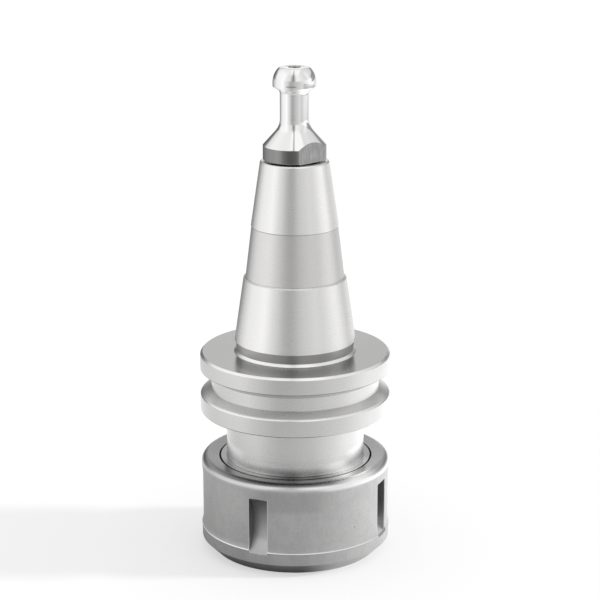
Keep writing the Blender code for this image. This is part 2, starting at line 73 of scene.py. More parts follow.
# Steep taper, heights above the flange's upper face
SMALL_END = holder_high.z
FLANGE_FACE = SMALL_END - 0.0510
TAPER_RATE = 7 / 48
GAUGE_RADIUS = 0.015875
GAUGE_HEIGHT = 0.0032
UPPER_LAND_LENGTH = 0.0171
RELIEF_LENGTH = 0.01395
RELIEF_TOP_DEPTH = 0.00015
RELIEF_BOTTOM_DEPTH = 0.00055
TAPER_EDGE = 0.0003
RELIEF_LEDGE = 0.0002        # how steeply the lower land's upper edge stands out
UNDERCUT_STEP = 0.0003
UNDERCUT_DEPTH = 0.0005
UNDERCUT_LEDGE = 0.0007
UNDERCUT_FOOT = 0.00018
RELIEF_TOP = SMALL_END - UPPER_LAND_LENGTH
RELIEF_BOTTOM = RELIEF_TOP - RELIEF_LENGTH
TAPER_FOOT = FLANGE_FACE + GAUGE_HEIGHT

# Flange and its gripper groove, heights below the flange's upper face
FLANGE_RADIUS = holder_high.x
FLANGE_WIDTH = 0.0159
FLANGE_EDGE = 0.00025
FLANGE_TOP_EDGE = 0.0006
GROOVE_EDGE = 0.0003
GROOVE_CENTRE = 0.0079
GROOVE_OPENING = 0.00678
GROOVE_DEPTH = 0.00285
GROOVE_FLANK = math.radians(30)
GROOVE_HIGH = FLANGE_FACE - GROOVE_CENTRE + GROOVE_OPENING / 2
GROOVE_LOW = GROOVE_HIGH - GROOVE_OPENING

# Neck, collar and nose thread
NECK_RADIUS = 0.0182
NECK_ROUND = 0.0002
NECK_FOOT_ROUND = 0.0002
COLLAR_TOP = 0.0252
COLLAR_HEIGHT = 0.00165
COLLAR_RADIUS = 0.0199
COLLAR_EDGE = 0.0001
NOSE_FRONT = holder_low.z
NOSE_CHAMFER = 0.0010
THREAD_PITCH = 0.0015
THREAD_RADIUS = 0.0200
THREAD_CORE_RADIUS = 0.01908
THREAD_CREST_GAP = 0.00005
THREAD_ROOT_WIDTH = 0.00095
THREAD_CREST_WIDTH = 0.0002
THREAD_SINK = 0.00003       # the ridge's foot goes this far into its wall
THREAD_STEPS = 72
THREAD_TURNS = 8
NUT_THREAD_ROOT = 0.0201
NUT_THREAD_CREST = 0.01942

# Bores inside the holder
CONE_ANGLE = math.radians(8)
CONE_MOUTH_RADIUS = 0.016503
CONE_END = 0.0430
SHANK_BORE_RADIUS = 0.009
SHANK_BORE_LENGTH = 0.021
THROUGH_BORE_RADIUS = 0.004
DRILL_ANGLE = math.radians(59)
TAPPED_RADIUS = 0.00525
TAPPED_LENGTH = 0.024
STUD_RECESS_RADIUS = 0.0068
STUD_RECESS_DEPTH = 0.0053

# Pull stud, heights above the taper's small end
STUD_HEIGHT = stud_high.z - SMALL_END
STUD_SHANK_LENGTH = SMALL_END - stud_low.z
STUD_TOP_RADIUS = 0.0039
STUD_HEAD_RADIUS = 0.0056
STUD_HEAD_ROUND = 0.00504
STUD_HEAD_LAND = 0.0011
STUD_UNDER_HEAD = math.radians(58)
STUD_UNDER_ROUND = 0.0015
STUD_NECK_RADIUS = 0.00375
STUD_FLARE_ROUND = 0.0048
STUD_FLARE_ANGLE = math.radians(42)
STUD_COLLAR_RADIUS = stud_high.x
STUD_COLLAR_TOP = 0.00405
STUD_COLLAR_BOTTOM = 0.0003
STUD_COLLAR_EDGE = 0.0002
STUD_RELIEF_RADIUS = 0.0058
STUD_RELIEF_LENGTH = 0.0010
STUD_PILOT_RADIUS = 0.0065
STUD_PILOT_LENGTH = 0.005
STUD_SHANK_RADIUS = 0.00495
STUD_SHANK_CHAMFER = 0.0008
STUD_FLAT_DISTANCE = 0.00685
STUD_FLAT_DIRECTION = math.radians(41.5)
STUD_HOLE_RADIUS = 0.0016
STUD_HOLE_DEPTH = 0.0035

# Clamping nut
NUT_TOP = nut_high.z
NUT_RIDGE_RADIUS = nut_high.x
NUT_RADIUS = 0.0250
NUT_WAIST_RADIUS = 0.0247
NUT_BAND_HEIGHT = 0.0064
NUT_SHOULDER_ROUND = 0.0019
NUT_SHOULDER_FADE = 0.0032
NUT_RIDGE_FADE = 0.0016
NUT_FRONT_CHAMFER = 0.0032
NUT_EDGE = 0.0006
NUT_LIP_EDGE = 0.0003
NUT_DISH = 0.0004
NUT_RIDGE_FACET = 0.0002
NUT_LIP_RADIUS = 0.0178
NUT_BORE_RADIUS = 0.01938
COUNTERBORE_RADIUS = 0.0203
COUNTERBORE_END = 0.02325
SLOT_COUNT = 4
SLOT_WIDTH = 0.0052
SLOT_LENGTH = 0.0148
SLOT_DEPTH = 0.0036
SLOT_CENTRE_HEIGHT = 0.01335
SLOT_DIRECTION = math.radians(-23.1)

# Ball row and its plug
BALL_CIRCLE = 0.0189
BALL_HEIGHT = 0.0042
RACE_RADIUS = 0.0017
RACE_STEP_OUT = 0.00048
RACE_STEP_IN = 0.0011
PLUG_RADIUS = 0.0016
PLUG_SINK = 0.0006
PLUG_DIRECTION = math.radians(202.6)
SEAT_GAP = 0.0003

# Camera, found from the known sizes of the taper and flange in the photograph
CAMERA_LENS = 126.9
CAMERA_PLACE = (0.00132, -0.5323, 0.21995)
CAMERA_PITCH = math.radians(15.959)
CAMERA_ROLL = math.radians(-0.1)


def direction(angle):
    """The unit vector at an angle from -Y towards +X."""
    return math.sin(angle), -math.cos(angle)


def arc(centre, radius, start, end, steps):
    """Points on a circle in the outline's plane, both ends included; angles from outwards to up."""
    turns = [start + (end - start) * i / steps for i in range(steps + 1)]
    return [(centre[0] + radius * math.cos(t), centre[1] + radius * math.sin(t)) for t in turns]


def raised(outline, height):
    return [(radius, z + height) for radius, z in outline]


# Camera


def place_camera():
    camera = bpy.data.objects.new("camera", bpy.data.cameras.new("camera"))
    bpy.context.scene.collection.objects.link(camera)
    camera.data.lens = CAMERA_LENS
    camera.data.clip_start = 0.01
    camera.data.clip_end = 20
    tilt = Matrix.Rotation(math.pi / 2 - CAMERA_PITCH, 4, "X")
    roll = Matrix.Rotation(CAMERA_ROLL, 4, "Z")
    camera.matrix_world = Matrix.Translation(CAMERA_PLACE) @ tilt @ roll
    bpy.context.scene.camera = camera


# Modelling


def start_piece(name):
    """The primitive just added, with its place applied, open in edit mode and selected all over."""
    piece = bpy.context.object
    piece.name = name
    piece.data.name = name
    bpy.ops.object.transform_apply(location=True, rotation=True, scale=True)
    bpy.ops.object.mode_set(mode="EDIT")
    bpy.ops.mesh.select_all(action="SELECT")
    return piece


def draw_ring_to(radius, height, new_radius, new_height):
    """Draws the selected ring out along the axis to another radius, or to a point if that is 0."""
    rise = (0, 0, new_height - height)
    bpy.ops.mesh.extrude_region_move(TRANSFORM_OT_translate={"value": rise})
    if new_radius == 0:
        bpy.ops.mesh.merge(type="CENTER")
        return
    scale = new_radius / radius
    bpy.ops.transform.resize(value=(scale, scale, 1), center_override=(0, 0, new_height))


def turned(name, outline, sides=TURN_SIDES):
    """A turned piece, drawn out ring by ring from a circle along (radius, height) points that run
    down the outside. An outline that starts and ends on the axis closes there, any other one closes
    through its own bore."""
    points = list(outline)
    tip = points.pop(0) if points[0][0] == 0 else None
    radius, height = points[0]
    bpy.ops.object.select_all(action="DESELECT")
    bpy.ops.mesh.primitive_circle_add(vertices=sides, radius=radius, location=(0, 0, height))
    piece = start_piece(name)
    if tip is None:
        points.append(points[0])
    for new_radius, new_height in points[1:]:
        draw_ring_to(radius, height, new_radius, new_height)
        radius, height = new_radius, new_height
    if tip:
        bpy.ops.mesh.select_all(action="DESELECT")
        bpy.ops.mesh.select_non_manifold()
        draw_ring_to(*points[0], *tip)
    bpy.ops.mesh.select_all(action="SELECT")
    bpy.ops.mesh.remove_doubles(threshold=SAME_POINT)
    bpy.ops.mesh.normals_make_consistent(inside=False)
    bpy.ops.object.mode_set(mode="OBJECT")
    return piece


def apply_all(piece):
    bpy.ops.object.select_all(action="DESELECT")
    bpy.context.view_layer.objects.active = piece
    piece.select_set(True)
    for modifier in list(piece.modifiers):
        bpy.ops.object.modifier_apply(modifier=modifier.name)


def break_edges(piece, width=EDGE_BREAK):
    bevel = piece.modifiers.new("edge break", "BEVEL")
    bevel.width = width
    bevel.segments = 3
    bevel.limit_method = "ANGLE"
    bevel.angle_limit = EDGE_ANGLE
    apply_all(piece)


def cut(piece, *cutters):
    """Takes each cutter out of the piece, then deletes it."""
    for cutter in cutters:
        boolean = piece.modifiers.new("cut", "BOOLEAN")
        boolean.operation = "DIFFERENCE"
        boolean.solver = "EXACT"
        boolean.object = cutter
        apply_all(piece)
        bpy.data.objects.remove(cutter)


def finish_piece(piece, material, body, slot, *nodes):
    """Shades the piece, with its large faces kept flat, gives it its material, hangs it on its
    body's empty and hides the frame's parts that it stands in for.
    """
    apply_all(piece)
    bpy.ops.object.shade_smooth_by_angle(angle=SHADE_ANGLE)
    flatten = piece.modifiers.new("flat faces", "WEIGHTED_NORMAL")
    flatten.keep_sharp = True
    flatten.weight = 100
    apply_all(piece)
    piece.data.materials.clear()
    piece.data.materials.append(material)
    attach(piece, body)
    if nodes:
        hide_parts(*nodes)


def thread_ridge(name, root_radius, crest_radius, start, material, body, slot):
    """A right-hand thread's ridge: a four-cornered section wound up the axis by a Screw."""
    depth = abs(crest_radius - root_radius)
    middle = (crest_radius + root_radius) / 2
    bpy.ops.object.select_all(action="DESELECT")
    centre = (middle, 0, start)
    bpy.ops.mesh.primitive_plane_add(size=1, location=centre, rotation=(math.pi / 2, 0, 0))
    piece = start_piece(name)
    bpy.ops.transform.resize(value=(depth, 1, THREAD_ROOT_WIDTH), center_override=centre)
    bpy.ops.mesh.delete(type="ONLY_FACE")
    bpy.ops.object.mode_set(mode="OBJECT")
    for vertex in piece.data.vertices:
        vertex.select = abs(vertex.co.x - crest_radius) < depth / 2
    bpy.ops.object.mode_set(mode="EDIT")
    narrow = THREAD_CREST_WIDTH / THREAD_ROOT_WIDTH
    bpy.ops.transform.resize(value=(1, 1, narrow), center_override=centre)
    bpy.ops.object.mode_set(mode="OBJECT")
    winding = piece.modifiers.new("winding", "SCREW")
    winding.screw_offset = THREAD_PITCH
    winding.iterations = THREAD_TURNS
    winding.steps = THREAD_STEPS
    winding.render_steps = THREAD_STEPS
    winding.use_merge_vertices = False
    apply_all(piece)
    bpy.ops.object.mode_set(mode="EDIT")
    bpy.ops.mesh.select_all(action="DESELECT")
    bpy.ops.mesh.select_non_manifold()
    bpy.ops.mesh.fill_holes(sides=4)
    bpy.ops.mesh.select_all(action="SELECT")
    bpy.ops.mesh.normals_make_consistent(inside=False)
    bpy.ops.object.mode_set(mode="OBJECT")
    finish_piece(piece, material, body, slot)


# Shader maths


class Field:
    """A number or colour that changes over a surface: one output in a set of nodes."""

    def __init__(self, nodes, socket):
        self.nodes = nodes
        self.socket = socket

    def maths(self, operation, *values):
        inputs = dict(enumerate(values))
        return self.nodes.add("ShaderNodeMath", {"operation": operation}, inputs)

    def __add__(self, other):
        return self.maths("ADD", self, other)

    def __sub__(self, other):
        return self.maths("SUBTRACT", self, other)

    def __rsub__(self, other):
        return self.maths("SUBTRACT", other, self)

    def __mul__(self, other):
        return self.maths("MULTIPLY", self, other)

    def __truediv__(self, other):
        return self.maths("DIVIDE", self, other)

    def __abs__(self):
        return self.maths("ABSOLUTE", self)

    def __pow__(self, other):
        return self.maths("POWER", self, other)

    __radd__ = __add__
    __rmul__ = __mul__


class Nodes:
    """The nodes of one material or of the world."""

    def __init__(self, tree):
        self.tree = tree

    def add(self, kind, settings=None, inputs=None, output=0):
        """Adds a node: its settings first, then the values or links of its sockets."""
        node = self.tree.nodes.new(kind)
        for name, value in (settings or {}).items():
            if name == "stops":
                self.set_stops(node.color_ramp, value)
            else:
                setattr(node, name, value)
        for name, value in (inputs or {}).items():
            if isinstance(value, Field):
                self.tree.links.new(value.socket, node.inputs[name])
            else:
                node.inputs[name].default_value = value
        return Field(self, node.outputs[output])

    def set_stops(self, ramp, stops):
        while len(ramp.elements) < len(stops):
            ramp.elements.new(1)
        for element, (position, brightness) in zip(ramp.elements, stops):
            element.position = position
            element.color = (brightness, brightness, brightness, 1)

    def position(self):
        """The point on the surface, as x, y, z in the piece's own frame."""
        place = self.add("ShaderNodeTexCoord", output="Object")
        return [self.add("ShaderNodeSeparateXYZ", inputs={0: place}, output=i) for i in range(3)]

    def vector(self, x, y, z):
        return self.add("ShaderNodeCombineXYZ", inputs={0: x, 1: y, 2: z})

    def noise(self, place, detail=3, rough=0.55):
        inputs = {"Vector": place, "Scale": 1.0, "Detail": detail, "Roughness": rough}
        return self.add("ShaderNodeTexNoise", inputs=inputs)

    def between(self, value, low, high):
        """0 below low, 1 above high, with a soft run between."""
        settings = {"interpolation_type": "SMOOTHSTEP"}
        inputs = {"Value": value, "From Min": low, "From Max": high}
        return self.add("ShaderNodeMapRange", settings, inputs)

    def band(self, value, low, high, blur):
        """1 from low to high, 0 elsewhere, each border blurred by so much to both sides."""
        rise = self.between(value, low - blur, low + blur)
        return rise * (1 - self.between(value, high - blur, high + blur))

    def mix(self, share, first, second):
        """One colour over to the other as share goes from 0 to 1."""
        inputs = {0: share, 6: first, 7: second}
        return self.add("ShaderNodeMix", {"data_type": "RGBA"}, inputs, output=2)

    def laid(self, colour, *layers):
        """The colour with each layer, a share and its colour, laid over it in turn."""
        for share, over in layers:
            colour = self.mix(share, colour, over)
        return colour


def grey(level, warmth=0.0):
    """A steel colour; warmth is how much less blue than red it has."""
    return (level * (1 + warmth / 2), level, level * (1 - warmth / 2), 1)


def radius_of(x, y):
    return (x * x + y * y) ** 0.5


def turn_of(nodes, x, y):
    """The direction of x and y in turns, 0 towards the camera's side."""
    return x.maths("ARCTAN2", x, 0 - y) / math.tau


def brightness_round(nodes, x, y, table):
    """The brightness in the direction of x and y, read from a table of angles round the axis."""
    stops = [(angle / 360 + 0.5, brightness) for angle, brightness in table]
    return nodes.add("ShaderNodeValToRGB", {"stops": stops}, {0: turn_of(nodes, x, y) + 0.5})


def turning_lines(nodes, x, y, z, radius, around, along):
    """Noise drawn out round the axis, for the marks of turning and grinding; it runs across the
    flat faces too, because it takes the radius in with the height."""
    run = (z + radius * FACE_LINE_SHARE) * along
    return nodes.noise(nodes.vector(x / radius * around, y / radius * around, run))


def grains(nodes, x, y, z, fineness):
    """Even fine noise, so many grains to a metre."""
    return nodes.noise(nodes.vector(x * fineness, y * fineness, z * fineness), detail=2)


def new_material(name):
    material = bpy.data.materials.new(name)
    material.use_nodes = True
    return material, Nodes(material.node_tree)


def steel(colour, roughness, bump, bump_depth, anisotropic):
    """Fills a material's shader: what changes over the surface is linked, the rest is set."""
    nodes = colour.nodes
    shader = nodes.tree.nodes["Principled BSDF"]
    shader.inputs["Metallic"].default_value = 1
    shader.inputs["Anisotropic"].default_value = anisotropic
    shader.inputs["Anisotropic Rotation"].default_value = 0.25
    nodes.tree.links.new(colour.socket, shader.inputs["Base Color"])
    nodes.tree.links.new(roughness.socket, shader.inputs["Roughness"])
    inputs = {"Height": bump, "Strength": 1.0, "Distance": bump_depth}
    normal = nodes.add("ShaderNodeBump", inputs=inputs)
    nodes.tree.links.new(normal.socket, shader.inputs["Normal"])


# Finish of the holder, with its painted highlights and painted shade. A tone is a grey's
# brightness and warmth. A zone is where a finish starts and ends, and a border is where it begins
# and where it is full. A reach is the same, measured sideways from the middle.

FACE_LINE_SHARE = 0.73
GROUND_GRAINS = 2600
NECK_TONE = (0.77, 0.012)
LAND_TONE = (0.92, 0.014)
RELIEF_TONE = (0.78, 0.020)
# painted shade: the undercut is painted darker than the lands, for the shade in its recess
UNDERCUT_SHADE_TONE = (0.52, 0.020)
# painted shade on the groove's lower flank, with a painted highlight towards its left and right
# sides
GROOVE_SHADE_TONE = (0.68, 0.012)
GROOVE_SIDE_HIGHLIGHT_TONE = (1.0, 0.012)
# painted highlights on the lower neck: lighter towards its left and right sides and just above its
# foot
NECK_SIDE_HIGHLIGHT_TONE = (1.0, 0.0)
NECK_FOOT_HIGHLIGHT_TONE = (0.97, 0.012)
# painted shade on the flange's upper face, with a painted highlight towards its left and right
# sides
FACE_SHADE_TONE = (0.44, 0.012)
FACE_SIDE_HIGHLIGHT_TONE = (0.76, 0.012)
# painted highlights on the holder's edges
HOLDER_EDGE_HIGHLIGHT_TONE = (0.97, 0.004)
MARK_TONE = (0.30, 0.02)
SPARK_TONE = (0.97, 0.01)
# painted shade just under the groove's upper edge and the flange's lower edge
UNDER_RIM_SHADE_TONE = (0.12, 0.0)
# painted shade along the relief's steps
STEP_SHADE_TONE = (0.30, 0.02)
# Painted light on the collar's upper face round the axis: a painted reflection, dark towards the
# camera, with a painted highlight at the right front
COLLAR_FACE_PAINTED_LIGHT = (
    (-180, 0.60), (-80, 0.60), (-55, 0.36), (-28, 0.34), (-10, 0.12), (18, 0.12), (42, 0.90),
    (70, 1.00), (85, 0.60), (180, 0.60),
)
RELIEF_ZONE = (RELIEF_BOTTOM + RELIEF_LEDGE, RELIEF_TOP - 0.00005)
UPPER_STEP_ZONE = (RELIEF_TOP - 0.00026, RELIEF_TOP - 0.00004)
LOWER_STEP_ZONE = (RELIEF_BOTTOM + 0.00026, RELIEF_BOTTOM + 0.00042)
UNDERCUT_ZONE = (FLANGE_FACE + UNDERCUT_LEDGE, TAPER_FOOT - 0.0001)
LAND_BORDER = (TAPER_FOOT - 0.0002, TAPER_FOOT)
LEDGE_ZONE = (FLANGE_FACE + 0.0001, FLANGE_FACE + UNDERCUT_LEDGE)
FACE_ZONE = (FLANGE_FACE - 0.00003, FLANGE_FACE + 0.00003)
FACE_SIDE_REACH = (0.0140, 0.0160)
TOP_EDGE_ZONE = (FLANGE_FACE - FLANGE_TOP_EDGE, FLANGE_FACE)
GROOVE_ZONE = (GROOVE_LOW + GROOVE_EDGE, GROOVE_LOW + GROOVE_DEPTH * 0.6)
GROOVE_EDGE_ZONE = (GROOVE_LOW - GROOVE_EDGE / 2, GROOVE_LOW + GROOVE_EDGE)
GROOVE_ROOT_BORDER = (FLANGE_RADIUS - GROOVE_DEPTH - 0.0005, FLANGE_RADIUS - GROOVE_DEPTH)
GROOVE_SIDE_REACH = (0.0205, 0.0235)
RIM_BORDER = (FLANGE_RADIUS - 0.0006, FLANGE_RADIUS - 0.0004)
UNDER_EDGE_HALF = 0.0001
NECK_SIDE_BORDER = (COLLAR_TOP + 0.0040, COLLAR_TOP + 0.0060)
NECK_SIDE_REACH = (0.0125, 0.0155)
NECK_FOOT_BORDER = (COLLAR_TOP + 0.0020, COLLAR_TOP + 0.0036)
COLLAR_BORDER = (COLLAR_TOP + 0.0001, COLLAR_TOP + 0.0002)


def holder_edges(nodes, z, radius):
    """Where the holder's edges get a painted highlight, and where the undersides of its rims get
    painted shade.
    """
    rims = nodes.between(radius, *RIM_BORDER)
    bright = nodes.band(z, *LEDGE_ZONE, blur=0.00005)
    bright = bright + rims * nodes.band(z, *TOP_EDGE_ZONE, blur=0.00003)
    bright = bright + rims * nodes.band(z, *GROOVE_EDGE_ZONE, blur=0.00003)
    under = 0.0
    for edge in (GROOVE_HIGH, FLANGE_FACE - FLANGE_WIDTH):
        zone = (edge - UNDER_EDGE_HALF, edge + UNDER_EDGE_HALF)
        under = under + nodes.band(z, *zone, blur=0.00005)
    return bright, rims * under


def relief_steps(nodes, z):
    """The lines of painted shade at both ends of the taper's relief."""
    upper = nodes.band(z, *UPPER_STEP_ZONE, blur=0.00005)
    return upper + nodes.band(z, *LOWER_STEP_ZONE, blur=0.00008)


def ground_steel():
    """The holder: ground lands, a duller relief, a turned undercut, flange and neck, with painted
    highlights on its edges and sides and painted shade in its recesses and on the flange's face.
    """
    material, nodes = new_material("ground_steel")
    x, y, z = nodes.position()
    radius = radius_of(x, y)
    fine = turning_lines(nodes, x, y, z, radius, around=3.0, along=3400)
    coarse = turning_lines(nodes, x, y, z, radius, around=1.2, along=420)
    marks = nodes.between(fine * 0.6 + coarse * 0.4, 0.28, 0.72)
    grain = grains(nodes, x, y, z, GROUND_GRAINS)
    relief = nodes.band(z, *RELIEF_ZONE, blur=0.00004)
    undercut = nodes.band(z, *UNDERCUT_ZONE, blur=0.00006)
    face = nodes.band(z, *FACE_ZONE, blur=0.00002)
    face_sides = nodes.between(abs(x), *FACE_SIDE_REACH)
    groove = nodes.band(z, *GROOVE_ZONE, blur=0.0001) * nodes.between(radius, *GROOVE_ROOT_BORDER)
    groove_sides = nodes.between(abs(x), *GROOVE_SIDE_REACH)
    neck_sides = (1 - nodes.between(z, *NECK_SIDE_BORDER)) * nodes.between(abs(x), *NECK_SIDE_REACH)
    neck_foot = 1 - nodes.between(z, *NECK_FOOT_BORDER)
    collar = 1 - nodes.between(z, *COLLAR_BORDER)
    edge_highlights, under_rim_shade = holder_edges(nodes, z, radius)
    body = nodes.laid(
        nodes.mix(nodes.between(z, *LAND_BORDER), grey(*NECK_TONE), grey(*LAND_TONE)),
        (relief, grey(*RELIEF_TONE)),
        (undercut, grey(*UNDERCUT_SHADE_TONE)),
        (groove, nodes.mix(groove_sides, grey(*GROOVE_SHADE_TONE), grey(*GROOVE_SIDE_HIGHLIGHT_TONE))),
        (neck_sides, grey(*NECK_SIDE_HIGHLIGHT_TONE)),
        (neck_foot, grey(*NECK_FOOT_HIGHLIGHT_TONE)),
        (collar, brightness_round(nodes, x, y, COLLAR_FACE_PAINTED_LIGHT)),
        (face, nodes.mix(face_sides, grey(*FACE_SHADE_TONE), grey(*FACE_SIDE_HIGHLIGHT_TONE))),
        (edge_highlights, grey(*HOLDER_EDGE_HIGHLIGHT_TONE)),
    )
    colour = nodes.laid(
        body,
        (0.03 * (1 - marks), nodes.mix(0.5, body, grey(*MARK_TONE))),
        (relief * nodes.between(grain, 0.35, 0.75) * 0.26, grey(*SPARK_TONE)),
        (under_rim_shade * 0.8, grey(*UNDER_RIM_SHADE_TONE)),
        (relief_steps(nodes, z) * 0.5, grey(*STEP_SHADE_TONE)),
    )
    roughness = 0.25 + 0.05 * marks + 0.10 * relief + 0.05 * undercut - 0.08 * face - 0.05 * collar
    steel(colour, roughness, fine + grain * relief, bump_depth=0.0000005, anisotropic=0.6)
    return material


# Finish of the pull stud, with painted shade on its collar and in the hole in its top

STUD_TONE = (0.94, 0.006)
# painted shade: the plain turned collar is painted much darker than the polished head
STUD_COLLAR_SHADE_TONE = (0.285, 0.012)
FLAT_TONE = (0.36, 0.006)
SCRATCH_TONE = (0.75, 0.0)
# painted shade inside the hole in the stud's top
HOLE_SHADE_TONE = (0.10, 0.0)
SCRATCHES_ALONG = 6500      # scratches to a metre: along a flat, out of it and up it
SCRATCHES_ACROSS = 900
SCRATCHES_UP = 350
STUD_COLLAR_BORDER = (SMALL_END + STUD_COLLAR_TOP - 0.0001, SMALL_END + STUD_COLLAR_TOP)
FLAT_BORDER = (STUD_FLAT_DISTANCE - 0.00006, STUD_FLAT_DISTANCE - 0.00002)
FLAT_END_BORDER = (SMALL_END + 0.012, SMALL_END + 0.0125)
HOLE_BORDER = (SMALL_END + STUD_HEIGHT - 0.0012, SMALL_END + STUD_HEIGHT - 0.0004)
HOLE_WALL_BORDER = (STUD_HOLE_RADIUS - 0.0001, STUD_HOLE_RADIUS + 0.0001)


def polished_steel():
    """The pull stud: polished above, a plain turned collar painted dark as painted shade, flats
    with scratches up and down, and painted shade in the hole in its top.
    """
    material, nodes = new_material("polished_steel")
    x, y, z = nodes.position()
    radius = radius_of(x, y)
    fine = turning_lines(nodes, x, y, z, radius, around=3.0, along=3000)
    flat_x, flat_y = direction(STUD_FLAT_DIRECTION)
    across = abs(x * flat_x + y * flat_y)
    along = x * flat_y - y * flat_x
    flat = nodes.between(across, *FLAT_BORDER) * (1 - nodes.between(z, *FLAT_END_BORDER))
    collar = 1 - nodes.between(z, *STUD_COLLAR_BORDER)
    place = nodes.vector(along * SCRATCHES_ALONG, across * SCRATCHES_ACROSS, z * SCRATCHES_UP)
    scratches = nodes.noise(place)
    hole = nodes.between(z, *HOLE_BORDER) * (1 - nodes.between(radius, *HOLE_WALL_BORDER))
    colour = nodes.laid(
        nodes.mix(collar, grey(*STUD_TONE), grey(*STUD_COLLAR_SHADE_TONE)),
        (flat, grey(*FLAT_TONE)),
        (flat * nodes.between(scratches, 0.40, 0.7) * 0.5, grey(*SCRATCH_TONE)),
        (hole, grey(*HOLE_SHADE_TONE)),
    )
    roughness = 0.04 + 0.03 * fine + 0.08 * collar + 0.22 * flat
    bump = fine * (1 - flat) * 0.3 + scratches * flat
    steel(colour, roughness, bump, bump_depth=0.000006, anisotropic=0.3)
    return material


# Finish of the nut, with its painted highlights and painted shade

BLASTED_GRAINS = 2400
CLOUDS_ROUND = 330          # clouds to a metre, sideways and up
CLOUDS_UP = 260
NUT_DARK_TONE = (0.54, 0.006)
NUT_LIGHT_TONE = (0.62, 0.006)
# the polished shoulder's bright tone is partly a painted highlight, dimmer on the left
SHOULDER_LEFT_HIGHLIGHT_TONE = (0.68, 0.004)
SHOULDER_HIGHLIGHT_TONE = (0.98, 0.004)
# painted shade on the nut's front, below its shoulder
UNDER_SHOULDER_SHADE_TONE = (0.30, 0.0)
# painted light and shade in the slots: the floor lighter on the right, its upper part and the walls
# in painted shade
SLOT_FLOOR_LIT_TONES = ((0.60, 0.0), (1.0, 0.0))     # on the left and on the right, as in the next two
SLOT_TOP_SHADE_TONES = ((0.48, 0.0), (0.28, 0.0))
SLOT_WALL_SHADE_TONES = ((0.27, 0.0), (0.40, 0.0))
# bright edges: round the slots partly wear and partly a painted highlight, along the ridge a
# painted highlight
EDGE_WEAR_AND_HIGHLIGHT_TONE = (0.95, 0.0)
# a painted highlight along the front chamfer's upper edge
CHAMFER_HIGHLIGHT_TONE = (0.80, 0.0)
PIT_TONE = (0.12, 0.0)
# Painted light on the nut's rear face round the axis, as on the collar: a painted reflection, dark
# towards the camera, with a painted highlight at the right front
REAR_FACE_PAINTED_LIGHT = (
    (-180, 0.50), (-80, 0.50), (-45, 0.22), (-20, 0.13), (10, 0.17), (22, 0.25), (38, 0.95),
    (50, 1.00), (61, 0.60), (80, 0.62), (180, 0.50),
)
FRONT_REACH = (-0.009, 0.007)
SHOULDER_LEFT_REACH = (-0.014, -0.005)
REAR_BORDER = (NUT_TOP - 0.0011, NUT_TOP - 0.0005)
SHOULDER_FOOT = NUT_TOP - NUT_SHOULDER_ROUND - 0.0009
SHOULDER_BORDER = (SHOULDER_FOOT, SHOULDER_FOOT + 0.0011)
SHOULDER_FRONT_RISE = 0.0006
UNDER_SHOULDER_ZONE = (NUT_TOP - 0.0078, NUT_TOP - 0.0024)
RIDGE_ZONE = (NUT_BAND_HEIGHT - 0.00002, NUT_BAND_HEIGHT + NUT_RIDGE_FACET)
CHAMFER_EDGE_ZONE = (NUT_FRONT_CHAMFER - 0.00006, NUT_FRONT_CHAMFER + 0.00006)
OUTSIDE_BORDER = (NUT_WAIST_RADIUS - 0.0003, NUT_WAIST_RADIUS - 0.0002)
SLOT_ZONE = (SLOT_CENTRE_HEIGHT - SLOT_LENGTH / 2, SLOT_CENTRE_HEIGHT + SLOT_LENGTH / 2)
SLOT_BACK_BORDER = (0.0206, 0.0208)
SLOT_EDGE_BORDER = (0.00006, 0.00022)
SLOT_WALL_BORDER = (0.00002, 0.00006)
SLOT_TOP_BORDER = (0.0082, 0.0098)
LIT_SIDE_REACH = (0.0, 0.01)
PIT_DIRECTION = math.radians(38.6)
PIT_HEIGHT = 0.0118
PIT_BORDER = (0.00010, 0.00022)


def slot_faces(nodes, x, y, z, radius, outside):
    """Where the spanner slots' bright edges, partly wear and partly a painted highlight, their
    walls and all of their inside are.
    """
    slot_x, slot_y = direction(SLOT_DIRECTION)
    run = nodes.band(z, *SLOT_ZONE, blur=0.0001)
    edges = 0.0
    walls = 0.0
    for across in (x * slot_y - y * slot_x, x * slot_x + y * slot_y):
        off_edge = abs(abs(across) - SLOT_WIDTH / 2)
        edges = edges + (1 - nodes.between(off_edge, *SLOT_EDGE_BORDER))
        walls = walls + (1 - nodes.between(off_edge, *SLOT_WALL_BORDER))
    inside = run * (1 - outside) * nodes.between(radius, *SLOT_BACK_BORDER)
    return edges * run * outside, walls, inside


def slot_light_and_shade(nodes, x, z, walls):
    """Painted light and shade in the slots: floors and walls lighter on the right, where the light
    comes in, the walls and the floor's upper part in painted shade.
    """
    lit_side = nodes.between(x, *LIT_SIDE_REACH)

    def tone(left, right):
        return nodes.mix(lit_side, grey(*left), grey(*right))

    top = nodes.between(z, *SLOT_TOP_BORDER)
    floor = nodes.mix(top, tone(*SLOT_FLOOR_LIT_TONES), tone(*SLOT_TOP_SHADE_TONES))
    return nodes.mix(walls, floor, tone(*SLOT_WALL_SHADE_TONES))


def pit_spot(nodes, x, y, z):
    """The one small pit in the nut's side."""
    pit_x, pit_y = direction(PIT_DIRECTION)
    place = (pit_x * NUT_WAIST_RADIUS, pit_y * NUT_WAIST_RADIUS, PIT_HEIGHT)
    inputs = {0: nodes.vector(x, y, z), 1: place}
    distance = nodes.add("ShaderNodeVectorMath", {"operation": "DISTANCE"}, inputs, output="Value")
    return 1 - nodes.between(distance, *PIT_BORDER)


